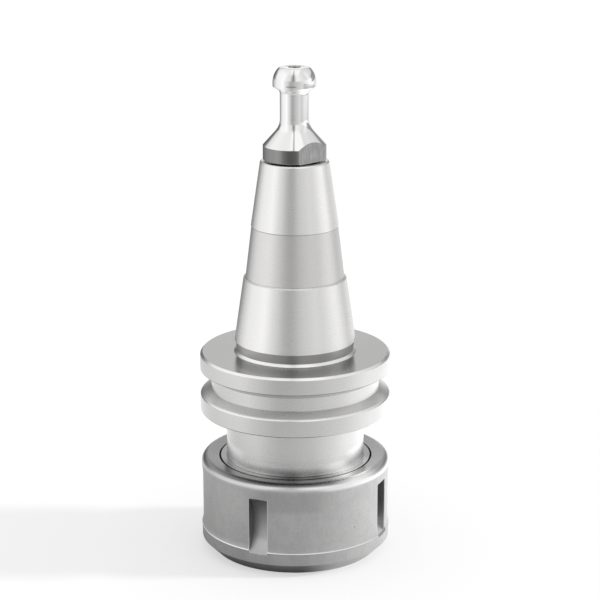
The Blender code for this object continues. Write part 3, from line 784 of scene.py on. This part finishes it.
def blasted_steel():
    """The nut: darker, mottled, with one small pit, bright edges round its slots that are partly
    wear and partly a painted highlight, and painted highlights and painted shade on its shoulder,
    rear face, ridge and slots.
    """
    material, nodes = new_material("blasted_steel")
    x, y, z = nodes.position()
    radius = radius_of(x, y)
    place = nodes.vector(x * CLOUDS_ROUND, y * CLOUDS_ROUND, z * CLOUDS_UP)
    clouds = nodes.noise(place, detail=5, rough=0.7)
    grain = grains(nodes, x, y, z, BLASTED_GRAINS)
    lines = turning_lines(nodes, x, y, z, radius, around=2.0, along=2600)
    mottle = nodes.between(clouds * 0.5 + grain * 0.5, 0.36, 0.64)
    front = nodes.band(x, *FRONT_REACH, blur=0.003)
    rear = nodes.between(z, *REAR_BORDER)
    shoulder = nodes.between(z - SHOULDER_FRONT_RISE * front, *SHOULDER_BORDER)
    shoulder_left = nodes.between(x, *SHOULDER_LEFT_REACH)
    under_shoulder = front * nodes.band(z, *UNDER_SHOULDER_ZONE, blur=0.0008)
    outside = nodes.between(radius, *OUTSIDE_BORDER)
    slot_edges, slot_walls, slot_inside = slot_faces(nodes, x, y, z, radius, outside)
    ridge = nodes.band(z, *RIDGE_ZONE, blur=0.00005)
    chamfer_edge = nodes.band(z, *CHAMFER_EDGE_ZONE, blur=0.00005)
    colour = nodes.laid(
        nodes.mix(mottle, grey(*NUT_DARK_TONE), grey(*NUT_LIGHT_TONE)),
        (under_shoulder * 0.3, grey(*UNDER_SHOULDER_SHADE_TONE)),
        (shoulder, nodes.mix(shoulder_left, grey(*SHOULDER_LEFT_HIGHLIGHT_TONE), grey(*SHOULDER_HIGHLIGHT_TONE))),
        (rear, brightness_round(nodes, x, y, REAR_FACE_PAINTED_LIGHT)),
        (slot_inside, slot_light_and_shade(nodes, x, z, slot_walls)),
        (slot_edges * 0.7, grey(*EDGE_WEAR_AND_HIGHLIGHT_TONE)),
        (ridge * outside, grey(*EDGE_WEAR_AND_HIGHLIGHT_TONE)),
        (chamfer_edge * outside * 0.5, grey(*CHAMFER_HIGHLIGHT_TONE)),
        (pit_spot(nodes, x, y, z), grey(*PIT_TONE)),
    )
    roughness = 0.42 - 0.06 * rear - 0.12 * shoulder + 0.06 * grain
    bump = grain * 0.7 + lines * 0.3
    steel(colour, roughness, bump, bump_depth=0.000008, anisotropic=0.2)
    return material


def plain_steel(name, level, rough, line_depth):
    """Inner pieces: one tone with fine turning lines."""
    material, nodes = new_material(name)
    x, y, z = nodes.position()
    fine = turning_lines(nodes, x, y, z, radius_of(x, y), around=2.5, along=3200)
    marks = nodes.between(fine, 0.3, 0.7)
    colour = nodes.mix(marks, grey(level * 0.88, 0.01), grey(level, 0.01))
    steel(colour, rough + 0.06 * marks, fine, bump_depth=line_depth, anisotropic=0.4)
    return material


# Holder


def taper_outline():
    """The ground cone, its relieved middle and the undercut at its foot, from the top down."""

    def cone(height):
        return GAUGE_RADIUS - (height - TAPER_FOOT) * TAPER_RATE

    return [
        (cone(SMALL_END) - TAPER_EDGE, SMALL_END),
        (cone(SMALL_END - TAPER_EDGE), SMALL_END - TAPER_EDGE),
        (cone(RELIEF_TOP), RELIEF_TOP),
        (cone(RELIEF_TOP) - RELIEF_TOP_DEPTH, RELIEF_TOP - RELIEF_TOP_DEPTH / 2),
        (cone(RELIEF_BOTTOM) - RELIEF_BOTTOM_DEPTH, RELIEF_BOTTOM + RELIEF_LEDGE),
        (cone(RELIEF_BOTTOM), RELIEF_BOTTOM),
        (cone(TAPER_FOOT), TAPER_FOOT),
        (cone(TAPER_FOOT) - UNDERCUT_STEP, TAPER_FOOT - UNDERCUT_STEP / 3),
        (cone(TAPER_FOOT) - UNDERCUT_DEPTH, FLANGE_FACE + UNDERCUT_LEDGE),
        (cone(TAPER_FOOT) + UNDERCUT_FOOT, FLANGE_FACE),
    ]


def flange_outline():
    """The rim with its V groove for the tool changer, from the upper face down to the neck."""
    root = FLANGE_RADIUS - GROOVE_DEPTH
    root_half = GROOVE_OPENING / 2 - GROOVE_DEPTH * math.tan(GROOVE_FLANK)
    edge_rise = GROOVE_EDGE * math.tan(GROOVE_FLANK)
    lower_rim = -GROOVE_CENTRE - GROOVE_OPENING / 2
    heights_down = [
        (FLANGE_RADIUS - FLANGE_TOP_EDGE, 0),
        (FLANGE_RADIUS, -FLANGE_TOP_EDGE),
        (FLANGE_RADIUS, -GROOVE_CENTRE + GROOVE_OPENING / 2),
        (root, -GROOVE_CENTRE + root_half),
        (root, -GROOVE_CENTRE - root_half),
        (FLANGE_RADIUS - GROOVE_EDGE, lower_rim + edge_rise),
        (FLANGE_RADIUS, lower_rim - edge_rise),
        (FLANGE_RADIUS, -FLANGE_WIDTH + FLANGE_EDGE),
        (FLANGE_RADIUS - FLANGE_EDGE, -FLANGE_WIDTH),
        (NECK_RADIUS + NECK_ROUND, -FLANGE_WIDTH),
        (NECK_RADIUS, -FLANGE_WIDTH - NECK_ROUND),
    ]
    return raised(heights_down, FLANGE_FACE)


def nose_outline():
    """The collar above the thread and the thread's core, down to the nose's face."""
    collar_bottom = COLLAR_TOP - COLLAR_HEIGHT
    core_step = COLLAR_RADIUS - THREAD_CORE_RADIUS
    foot_centre = (NECK_RADIUS + NECK_FOOT_ROUND, COLLAR_TOP + NECK_FOOT_ROUND)
    return arc(foot_centre, NECK_FOOT_ROUND, math.pi, 1.5 * math.pi, NECK_FOOT_STEPS) + [
        (COLLAR_RADIUS - COLLAR_EDGE, COLLAR_TOP),
        (COLLAR_RADIUS, COLLAR_TOP - COLLAR_EDGE),
        (COLLAR_RADIUS, collar_bottom),
        (THREAD_CORE_RADIUS, collar_bottom - core_step),
        (THREAD_CORE_RADIUS, NOSE_FRONT + NOSE_CHAMFER),
        (THREAD_CORE_RADIUS - NOSE_CHAMFER, NOSE_FRONT),
    ]


def holder_bore_outline():
    """Inside the holder, from the nose up: collet cone, shank bore, through bore and stud hole."""
    cone_end_radius = CONE_MOUTH_RADIUS - (CONE_END - NOSE_FRONT) * math.tan(CONE_ANGLE)
    shank_end = CONE_END + SHANK_BORE_LENGTH
    shank_point = (SHANK_BORE_RADIUS - THROUGH_BORE_RADIUS) / math.tan(DRILL_ANGLE)
    tapped_end = SMALL_END - TAPPED_LENGTH
    tapped_point = (TAPPED_RADIUS - THROUGH_BORE_RADIUS) / math.tan(DRILL_ANGLE)
    return [
        (CONE_MOUTH_RADIUS, NOSE_FRONT),
        (cone_end_radius, CONE_END),
        (SHANK_BORE_RADIUS, CONE_END),
        (SHANK_BORE_RADIUS, shank_end),
        (THROUGH_BORE_RADIUS, shank_end + shank_point),
        (THROUGH_BORE_RADIUS, tapped_end - tapped_point),
        (TAPPED_RADIUS, tapped_end),
        (TAPPED_RADIUS, SMALL_END - STUD_RECESS_DEPTH),
        (STUD_RECESS_RADIUS, SMALL_END - STUD_RECESS_DEPTH),
        (STUD_RECESS_RADIUS, SMALL_END - TAPER_EDGE),
        (STUD_RECESS_RADIUS + TAPER_EDGE, SMALL_END),
    ]


def make_holder(material):
    outline = taper_outline() + flange_outline() + nose_outline() + holder_bore_outline()
    holder = turned("holder", outline)
    break_edges(holder)
    finish_piece(holder, material, "holder", "ground_steel", "holder_body")
    root = THREAD_CORE_RADIUS - THREAD_SINK
    crest = THREAD_RADIUS - THREAD_CREST_GAP
    start = NOSE_FRONT + NOSE_CHAMFER
    thread_ridge("nose_thread", root, crest, start, material, "holder", "ground_steel")


# Pull stud


def stud_head_outline():
    """The rounded head, its sloping underside and the round into the neck."""
    arc_radius = STUD_HEAD_RADIUS - STUD_HEAD_ROUND
    arc_start = math.acos((STUD_TOP_RADIUS - arc_radius) / STUD_HEAD_ROUND)
    arc_height = STUD_HEIGHT - STUD_HEAD_ROUND * math.sin(arc_start)
    land_end = arc_height - STUD_HEAD_LAND
    round_turn = math.pi - STUD_UNDER_HEAD
    round_radius = STUD_NECK_RADIUS + STUD_UNDER_ROUND
    slope = STUD_HEAD_RADIUS - round_radius - STUD_UNDER_ROUND * math.cos(round_turn)
    slope_end = land_end - slope / math.tan(STUD_UNDER_HEAD)
    round_height = slope_end - STUD_UNDER_ROUND * math.sin(round_turn)
    points = arc((arc_radius, arc_height), STUD_HEAD_ROUND, arc_start, 0, HEAD_STEPS)
    points.append((STUD_HEAD_RADIUS, land_end))
    centre = (round_radius, round_height)
    return points + arc(centre, STUD_UNDER_ROUND, round_turn, math.pi, UNDER_HEAD_STEPS)


def stud_flare_outline():
    """The hollow curve and the cone from the neck out to the collar."""
    cone_turn = math.pi + STUD_FLARE_ANGLE
    centre_radius = STUD_NECK_RADIUS + STUD_FLARE_ROUND
    cone_radius = centre_radius + STUD_FLARE_ROUND * math.cos(cone_turn)
    cone_rise = (STUD_COLLAR_RADIUS - cone_radius) / math.tan(STUD_FLARE_ANGLE)
    centre_height = STUD_COLLAR_TOP + cone_rise - STUD_FLARE_ROUND * math.sin(cone_turn)
    centre = (centre_radius, centre_height)
    return arc(centre, STUD_FLARE_ROUND, math.pi, cone_turn, FLARE_STEPS)


def stud_shank_outline():
    """The collar, the relief under it, the pilot and the shank in the tapped hole."""
    pilot_step = STUD_PILOT_RADIUS - STUD_SHANK_RADIUS
    relief_step = STUD_PILOT_RADIUS - STUD_RELIEF_RADIUS
    return [
        (STUD_COLLAR_RADIUS, STUD_COLLAR_TOP),
        (STUD_COLLAR_RADIUS, STUD_COLLAR_BOTTOM + STUD_COLLAR_EDGE),
        (STUD_COLLAR_RADIUS - STUD_COLLAR_EDGE, STUD_COLLAR_BOTTOM),
        (STUD_RELIEF_RADIUS, STUD_COLLAR_BOTTOM),
        (STUD_RELIEF_RADIUS, -STUD_RELIEF_LENGTH),
        (STUD_PILOT_RADIUS, -STUD_RELIEF_LENGTH - relief_step),
        (STUD_PILOT_RADIUS, -STUD_PILOT_LENGTH + pilot_step),
        (STUD_SHANK_RADIUS, -STUD_PILOT_LENGTH),
        (STUD_SHANK_RADIUS, STUD_SHANK_CHAMFER - STUD_SHANK_LENGTH),
        (STUD_SHANK_RADIUS - STUD_SHANK_CHAMFER, -STUD_SHANK_LENGTH),
        (0, -STUD_SHANK_LENGTH),
    ]


def make_pull_stud(material):
    hole_end = STUD_HEIGHT - STUD_HOLE_DEPTH
    hole_point = STUD_HOLE_RADIUS / math.tan(DRILL_ANGLE)
    outline = [
        (0, hole_end - hole_point),
        (STUD_HOLE_RADIUS, hole_end),
        (STUD_HOLE_RADIUS, STUD_HEIGHT),
    ]
    outline += stud_head_outline() + stud_flare_outline() + stud_shank_outline()
    stud = turned("knob", raised(outline, SMALL_END), SMALL_TURN_SIDES)
    break_edges(stud, STUD_EDGE_BREAK)
    for side in (0, 1):
        turn = STUD_FLAT_DIRECTION + side * math.pi
        x, y = direction(turn)
        reach = STUD_FLAT_DISTANCE + STUD_COLLAR_RADIUS / 2
        height = STUD_HEIGHT / 2
        bpy.ops.mesh.primitive_cube_add(
            size=1,
            location=(x * reach, y * reach, SMALL_END + height / 2),
            rotation=(0, 0, turn),
            scale=(3 * STUD_COLLAR_RADIUS, STUD_COLLAR_RADIUS, height),
        )
        cut(stud, bpy.context.object)
    finish_piece(stud, material, "holder", "polished_steel", "pull_stud")


# Clamping nut


def nut_outer_outline():
    """Outside of the nut, from the rear face over the shoulder, waist and ridge to the front."""
    shoulder = (NUT_RADIUS - NUT_SHOULDER_ROUND, NUT_TOP - NUT_SHOULDER_ROUND)
    return arc(shoulder, NUT_SHOULDER_ROUND, math.pi / 2, 0, SHOULDER_STEPS) + [
        (NUT_WAIST_RADIUS, NUT_TOP - NUT_SHOULDER_ROUND - NUT_SHOULDER_FADE),
        (NUT_WAIST_RADIUS, NUT_BAND_HEIGHT + NUT_RIDGE_FADE),
        (NUT_RIDGE_RADIUS - NUT_RIDGE_FACET, NUT_BAND_HEIGHT + NUT_RIDGE_FACET),
        (NUT_RIDGE_RADIUS, NUT_BAND_HEIGHT),
        (NUT_RADIUS, NUT_BAND_HEIGHT - NUT_EDGE),
        (NUT_RADIUS, NUT_FRONT_CHAMFER),
        (NUT_RADIUS - NUT_FRONT_CHAMFER, 0),
    ]


def nut_inner_outline():
    """Inside of the nut, from its front lip up: outer race, thread root and counterbore."""
    start = -math.acos(-RACE_STEP_IN / RACE_RADIUS)
    end = math.acos(RACE_STEP_OUT / RACE_RADIUS)
    thread_start = ring_high.z + SEAT_GAP
    thread_step = NUT_THREAD_ROOT - NUT_BORE_RADIUS
    lip = [(NUT_LIP_RADIUS + NUT_LIP_EDGE, 0), (NUT_LIP_RADIUS, NUT_LIP_EDGE)]
    return lip + arc((BALL_CIRCLE, BALL_HEIGHT), RACE_RADIUS, start, end, RACE_STEPS) + [
        (NUT_BORE_RADIUS, thread_start),
        (NUT_THREAD_ROOT, thread_start + thread_step),
        (NUT_THREAD_ROOT, COUNTERBORE_END - (COUNTERBORE_RADIUS - NUT_THREAD_ROOT)),
        (COUNTERBORE_RADIUS, COUNTERBORE_END),
        (COUNTERBORE_RADIUS, NUT_TOP - NUT_DISH),
    ]


def slot_cutter(turn):
    """The disc cutter for a spanner slot, whose floor runs out in an arc at each end."""
    cutter_radius = (SLOT_DEPTH**2 + (SLOT_LENGTH / 2) ** 2) / (2 * SLOT_DEPTH)
    reach = NUT_WAIST_RADIUS - SLOT_DEPTH + cutter_radius
    x, y = direction(turn)
    bpy.ops.mesh.primitive_cylinder_add(
        vertices=SMALL_TURN_SIDES,
        radius=cutter_radius,
        depth=SLOT_WIDTH,
        location=(x * reach, y * reach, SLOT_CENTRE_HEIGHT),
        rotation=(0, math.pi / 2, turn),
    )
    return bpy.context.object


def filling_hole_cutter():
    """The radial drill for the hole that the balls are put in through."""
    x, y = direction(PLUG_DIRECTION)
    middle = (BALL_CIRCLE + NUT_RADIUS) / 2 + PLUG_RADIUS / 2
    bpy.ops.mesh.primitive_cylinder_add(
        vertices=PLUG_SIDES,
        radius=PLUG_RADIUS + SEAT_GAP,
        depth=NUT_RADIUS - BALL_CIRCLE + PLUG_RADIUS,
        location=(x * middle, y * middle, BALL_HEIGHT),
        rotation=(math.pi / 2, 0, PLUG_DIRECTION),
    )
    return bpy.context.object


def make_nut(material):
    nut = turned("clamping_nut", nut_outer_outline() + nut_inner_outline())
    break_edges(nut)
    cut(nut, *[slot_cutter(SLOT_DIRECTION + i * math.tau / SLOT_COUNT) for i in range(SLOT_COUNT)])
    cut(nut, filling_hole_cutter())
    finish_piece(nut, material, "nut", "blasted_steel", "nut_shell")
    root = NUT_THREAD_ROOT + THREAD_SINK
    start = NOSE_FRONT + NOSE_CHAMFER + THREAD_PITCH / 2
    thread_ridge("nut_thread", root, NUT_THREAD_CREST, start, material, "nut", "blasted_steel")


def make_ball_plug(material):
    start = BALL_CIRCLE + RACE_RADIUS
    end = NUT_RADIUS - PLUG_SINK
    outline = [
        (0, end),
        (PLUG_RADIUS - NUT_LIP_EDGE, end),
        (PLUG_RADIUS, end - NUT_LIP_EDGE),
        (PLUG_RADIUS, start),
        (0, start),
    ]
    plug = turned("filling_plug", outline, PLUG_SIDES)
    bpy.ops.object.select_all(action="DESELECT")
    plug.select_set(True)
    bpy.context.view_layer.objects.active = plug
    plug.rotation_euler = (math.pi / 2, 0, PLUG_DIRECTION)
    plug.location.z = BALL_HEIGHT
    bpy.ops.object.transform_apply(location=True, rotation=True, scale=True)
    break_edges(plug)
    finish_piece(plug, material, "nut", "bearing_steel", "ball_plug")


# Light and floor

WHITE = 1.0
AMBIENT = 0.88
OVERHEAD = 1.0
# The studio round the object as the steel sees it: direction in degrees from the camera's side,
# towards +X, and brightness there, just above the horizon, higher up and on the floor. It is bright
# left and right, and darker in front, where the camera and its stand are, and behind. The tables
# were tuned until the turned faces came out as light as in the photograph.
STUDIO_LOW = (
    (-180, 1.00), (-166, 0.30), (-154, 0.22), (-140, 0.42), (-127, 0.66), (-104, 0.92), (-82, 0.97),
    (-64, 1.06), (-54, 0.90), (-44, 0.77), (-35, 0.69), (-27, 0.51), (-20, 0.43), (-12, 0.42),
    (-4, 0.47), (4, 0.53), (12, 0.57), (27, 0.64), (44, 0.76), (62, 0.92), (74, 1.04), (84, 1.14),
    (94, 1.17), (105, 1.14), (119, 0.94), (137, 0.78), (155, 0.85), (166, 0.80), (180, 1.00),
)
STUDIO_HIGH = (
    (-180, 0.60), (-165, 0.50), (-150, 0.55), (-135, 0.78), (-117, 0.93), (-96, 0.98), (-60, 1.03),
    (-50, 0.92), (-39, 0.80), (-28, 0.80), (-18, 0.62), (-11, 0.34), (-4, 0.26), (2, 0.50),
    (9, 0.86), (20, 0.92), (35, 0.86), (50, 0.80), (64, 0.75), (72, 0.80), (81, 0.92), (92, 0.86),
    (104, 0.76), (117, 0.75), (135, 0.68), (150, 0.55), (180, 0.55),
)
STUDIO_FLOOR = (
    (-180, 1.10), (-150, 0.98), (-128, 0.84), (-106, 0.75), (-81, 0.80), (-60, 0.80), (-41, 0.68),
    (-23, 0.61), (-10, 0.62), (0, 0.62), (23, 0.66), (41, 0.76), (60, 0.89), (78, 1.06),
    (92, 1.16), (108, 1.24), (127, 1.42), (150, 1.45), (180, 1.20),
)
# Where the studio's parts meet, as sines of the angle above the horizon or to the side
HIGH_BORDER = (0.10, 0.30)
OVERHEAD_BORDER = (0.62, 0.90)
STREAK = (-0.036, 0.003)    # the dark streak's sides, in turns from the camera's side
STREAK_DEPTH = 0.5
RIGHT_SIDE_REACH = (0.65, 0.85)
SIDE_DIP = 0.45             # how much darker the floor is on the right, short of the panel there
SIDE_DIP_BORDER = (0.0, 0.045)
BACK_DIP = 0.60             # how much darker both sides of the back are above the horizon
BACK_SIDES = ((0.29, 0.46), (-0.46, -0.345))
BACK_END_BORDER = (0.28, 0.42)
OVERHEAD_LEFT = 0.12        # how much darker the overhead light is left and right of its middle
OVERHEAD_LEFT_REACH = (-0.30, -0.10)
OVERHEAD_RIGHT = 0.23
OVERHEAD_RIGHT_REACH = (0.34, 0.46)
KEY_DIRECTION = math.radians(90)
KEY_HEIGHT = math.radians(31)
KEY_SIZE = math.radians(7)
KEY_STRENGTH = 1.6
# The floor as the steel sees it, by the distance from the axis and the direction round it
FLOOR_REACH = 4.0
FLOOR_TONE = 0.92
FLOOR_SHADE = 0.5           # share of the floor's look that comes from the light on it
# painted shade in the floor's reflection, right under and beside the nut
FLOOR_DARK_TONE = 0.05      # right under and beside the nut
FLOOR_DARK_BORDERS = ((0.0205, 0.029), (0.026, 0.045))
FLOOR_RIGHT_REACH = (0.05, 0.50)
FLOOR_RIGHT_SHARE = 0.85    # the right side is spared this share of the dark
FLOOR_FAR_BORDER = (0.13, 0.26)
# The darker stretch on the right, short of the panel: where it starts and ends, how its end slants
# and the lighter gap in it
SHORT_START_BORDER = (0.25, 0.31)
SHORT_END_BORDER = (0.70, 0.86)
SHORT_END_SLANT = 0.65
SHORT_GAP_ZONE = (0.59, 0.70)
SHORT_GAP_SHARE = 0.42
# painted shade in the floor's reflection at the camera's stand
STAND_DIP = 0.66            # how much darker the floor is at the camera's stand
STAND_TURNS = (-0.125, 0.025)
STAND_ZONE = (0.45, 0.57)
CLOSE_BORDER = (0.065, 0.095)       # where the object's shadow and the glow opposite it end
LEFT_SHADOW = 0.36
LEFT_SHADOW_REACH = (0.1, 0.8)
RIGHT_GLOW = 0.14
RIGHT_GLOW_REACH = (0.4, 0.9)


def right_side(nodes, x, y):
    """1 to the right of the object, 0 elsewhere."""
    return nodes.between(x / radius_of(x, y), *RIGHT_SIDE_REACH)


def ray_kinds(nodes):
    """Whether a ray comes from the camera, from a reflection or through something clear."""
    kinds = ("Is Camera Ray", "Is Glossy Ray", "Is Transmission Ray")
    return [nodes.add("ShaderNodeLightPath", output=kind) for kind in kinds]


def light_world():
    world = bpy.data.worlds.new("studio")
    bpy.context.scene.world = world
    world.use_nodes = True
    nodes = Nodes(world.node_tree)
    way = nodes.add("ShaderNodeTexCoord", output="Generated")
    x, y, z = [nodes.add("ShaderNodeSeparateXYZ", inputs={0: way}, output=i) for i in range(3)]
    turn = turn_of(nodes, x, y)
    side = right_side(nodes, x, y) * (1 - nodes.between(z, *SIDE_DIP_BORDER)) * (SIDE_DIP / 2)
    low = nodes.mix(side, brightness_round(nodes, x, y, STUDIO_LOW), grey(0))
    high = brightness_round(nodes, x, y, STUDIO_HIGH)
    back = 0.0
    for sides in BACK_SIDES:
        back = back + nodes.band(turn, *sides, blur=0.02)
    back = back * (1 - nodes.between(z, *BACK_END_BORDER))
    streak = nodes.band(turn, *STREAK, blur=0.012)
    dim = nodes.between(x, *OVERHEAD_RIGHT_REACH) * OVERHEAD_RIGHT
    dim = dim + (1 - nodes.between(x, *OVERHEAD_LEFT_REACH)) * OVERHEAD_LEFT
    overhead = nodes.mix(streak * STREAK_DEPTH + dim, grey(OVERHEAD), grey(0))
    studio = nodes.laid(
        low,
        (nodes.between(z, *HIGH_BORDER), high),
        (back * BACK_DIP, grey(0)),
        (nodes.between(z, *OVERHEAD_BORDER), overhead),
    )
    camera, glossy, clear = ray_kinds(nodes)
    seen = nodes.mix(glossy, grey(WHITE), studio)
    colour = nodes.mix(nodes.between(camera + glossy + clear, 0, 1), grey(AMBIENT), seen)
    background = world.node_tree.nodes["Background"]
    world.node_tree.links.new(colour.socket, background.inputs["Color"])


def light_key():
    """One soft lamp from the right, for the shadow on the floor."""
    lamp = bpy.data.lights.new("key", "SUN")
    lamp.energy = KEY_STRENGTH
    lamp.angle = KEY_SIZE
    key = bpy.data.objects.new("key", lamp)
    bpy.context.scene.collection.objects.link(key)
    key.rotation_euler = (math.pi / 2 - KEY_HEIGHT, 0, KEY_DIRECTION)
    key.visible_glossy = False


def floor_seen_by_steel(nodes, x, y):
    """The floor's reflection: painted shade close to the nut, a painted shadow beside it on the
    left, a painted glow on the right and painted shade at the camera's stand.
    """
    radius = radius_of(x, y)
    near = 0.0
    for border in FLOOR_DARK_BORDERS:
        near = near + nodes.between(radius, *border) / len(FLOOR_DARK_BORDERS)
    near = near + (1 - near) * nodes.between(x / radius, *FLOOR_RIGHT_REACH) * FLOOR_RIGHT_SHARE
    short = 1 - nodes.between(x + y * SHORT_END_SLANT, *SHORT_END_BORDER)
    short = short * nodes.between(radius, *SHORT_START_BORDER)
    short = short * (1 - nodes.band(radius, *SHORT_GAP_ZONE, blur=0.03) * SHORT_GAP_SHARE)
    stand = nodes.band(turn_of(nodes, x, y), *STAND_TURNS, blur=0.02)
    stand = stand * nodes.band(radius, *STAND_ZONE, blur=0.02)
    dip = right_side(nodes, x, y) * short * SIDE_DIP + stand * STAND_DIP
    close = 1 - nodes.between(radius, *CLOSE_BORDER)
    shadow = close * nodes.between(0 - x / radius, *LEFT_SHADOW_REACH) * LEFT_SHADOW
    shadow = shadow - close * nodes.between(x / radius, *RIGHT_GLOW_REACH) * RIGHT_GLOW
    far = nodes.between(radius, *FLOOR_FAR_BORDER)
    close_round = brightness_round(nodes, x, y, STUDIO_FLOOR)
    around = nodes.mix(far, close_round, brightness_round(nodes, x, y, STUDIO_LOW))
    return nodes.mix(near * (1 - dip), grey(FLOOR_DARK_TONE), around * (1 - shadow))


def make_floor():
    bpy.ops.object.select_all(action="DESELECT")
    bpy.ops.mesh.primitive_plane_add(size=2 * FLOOR_REACH)
    floor = start_piece("floor")
    bpy.ops.object.mode_set(mode="OBJECT")
    material, nodes = new_material("pale_floor")
    tree = material.node_tree
    tree.nodes.remove(tree.nodes["Principled BSDF"])
    x, y = nodes.position()[:2]
    camera, glossy, clear = ray_kinds(nodes)
    colour = nodes.mix(glossy, grey(WHITE), floor_seen_by_steel(nodes, x, y))
    lit = nodes.add("ShaderNodeBsdfDiffuse", inputs={"Color": grey(FLOOR_TONE)})
    glow = nodes.add("ShaderNodeEmission", inputs={"Color": colour, "Strength": 1.0})
    share = nodes.between(camera + clear, 0, 1) * (1 - FLOOR_SHADE) + glossy
    surface = nodes.add("ShaderNodeMixShader", inputs={0: share, 1: lit, 2: glow})
    tree.links.new(surface.socket, tree.nodes["Material Output"].inputs["Surface"])
    floor.data.materials.append(material)


place_camera()
bpy.context.scene.view_settings.view_transform = "Standard"
light_world()
light_key()
make_floor()

ground = ground_steel()
polished = polished_steel()
blasted = blasted_steel()
hardened = plain_steel("hardened_steel", 0.60, 0.28, 0.000003)
spring = plain_steel("spring_steel", 0.68, 0.25, 0.000003)
bearing = plain_steel("bearing_steel", 0.82, 0.12, 0.000001)

make_holder(ground)
make_pull_stud(polished)
make_nut(blasted)
make_ball_plug(bearing)

for name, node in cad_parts.items():
    if name.startswith("ball_"):
        node.data.materials.clear()
        node.data.materials.append(bearing)
for name, material in (("pressure_ring", hardened), ("collet", spring)):
    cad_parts[name].data.materials.clear()
    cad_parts[name].data.materials.append(material)
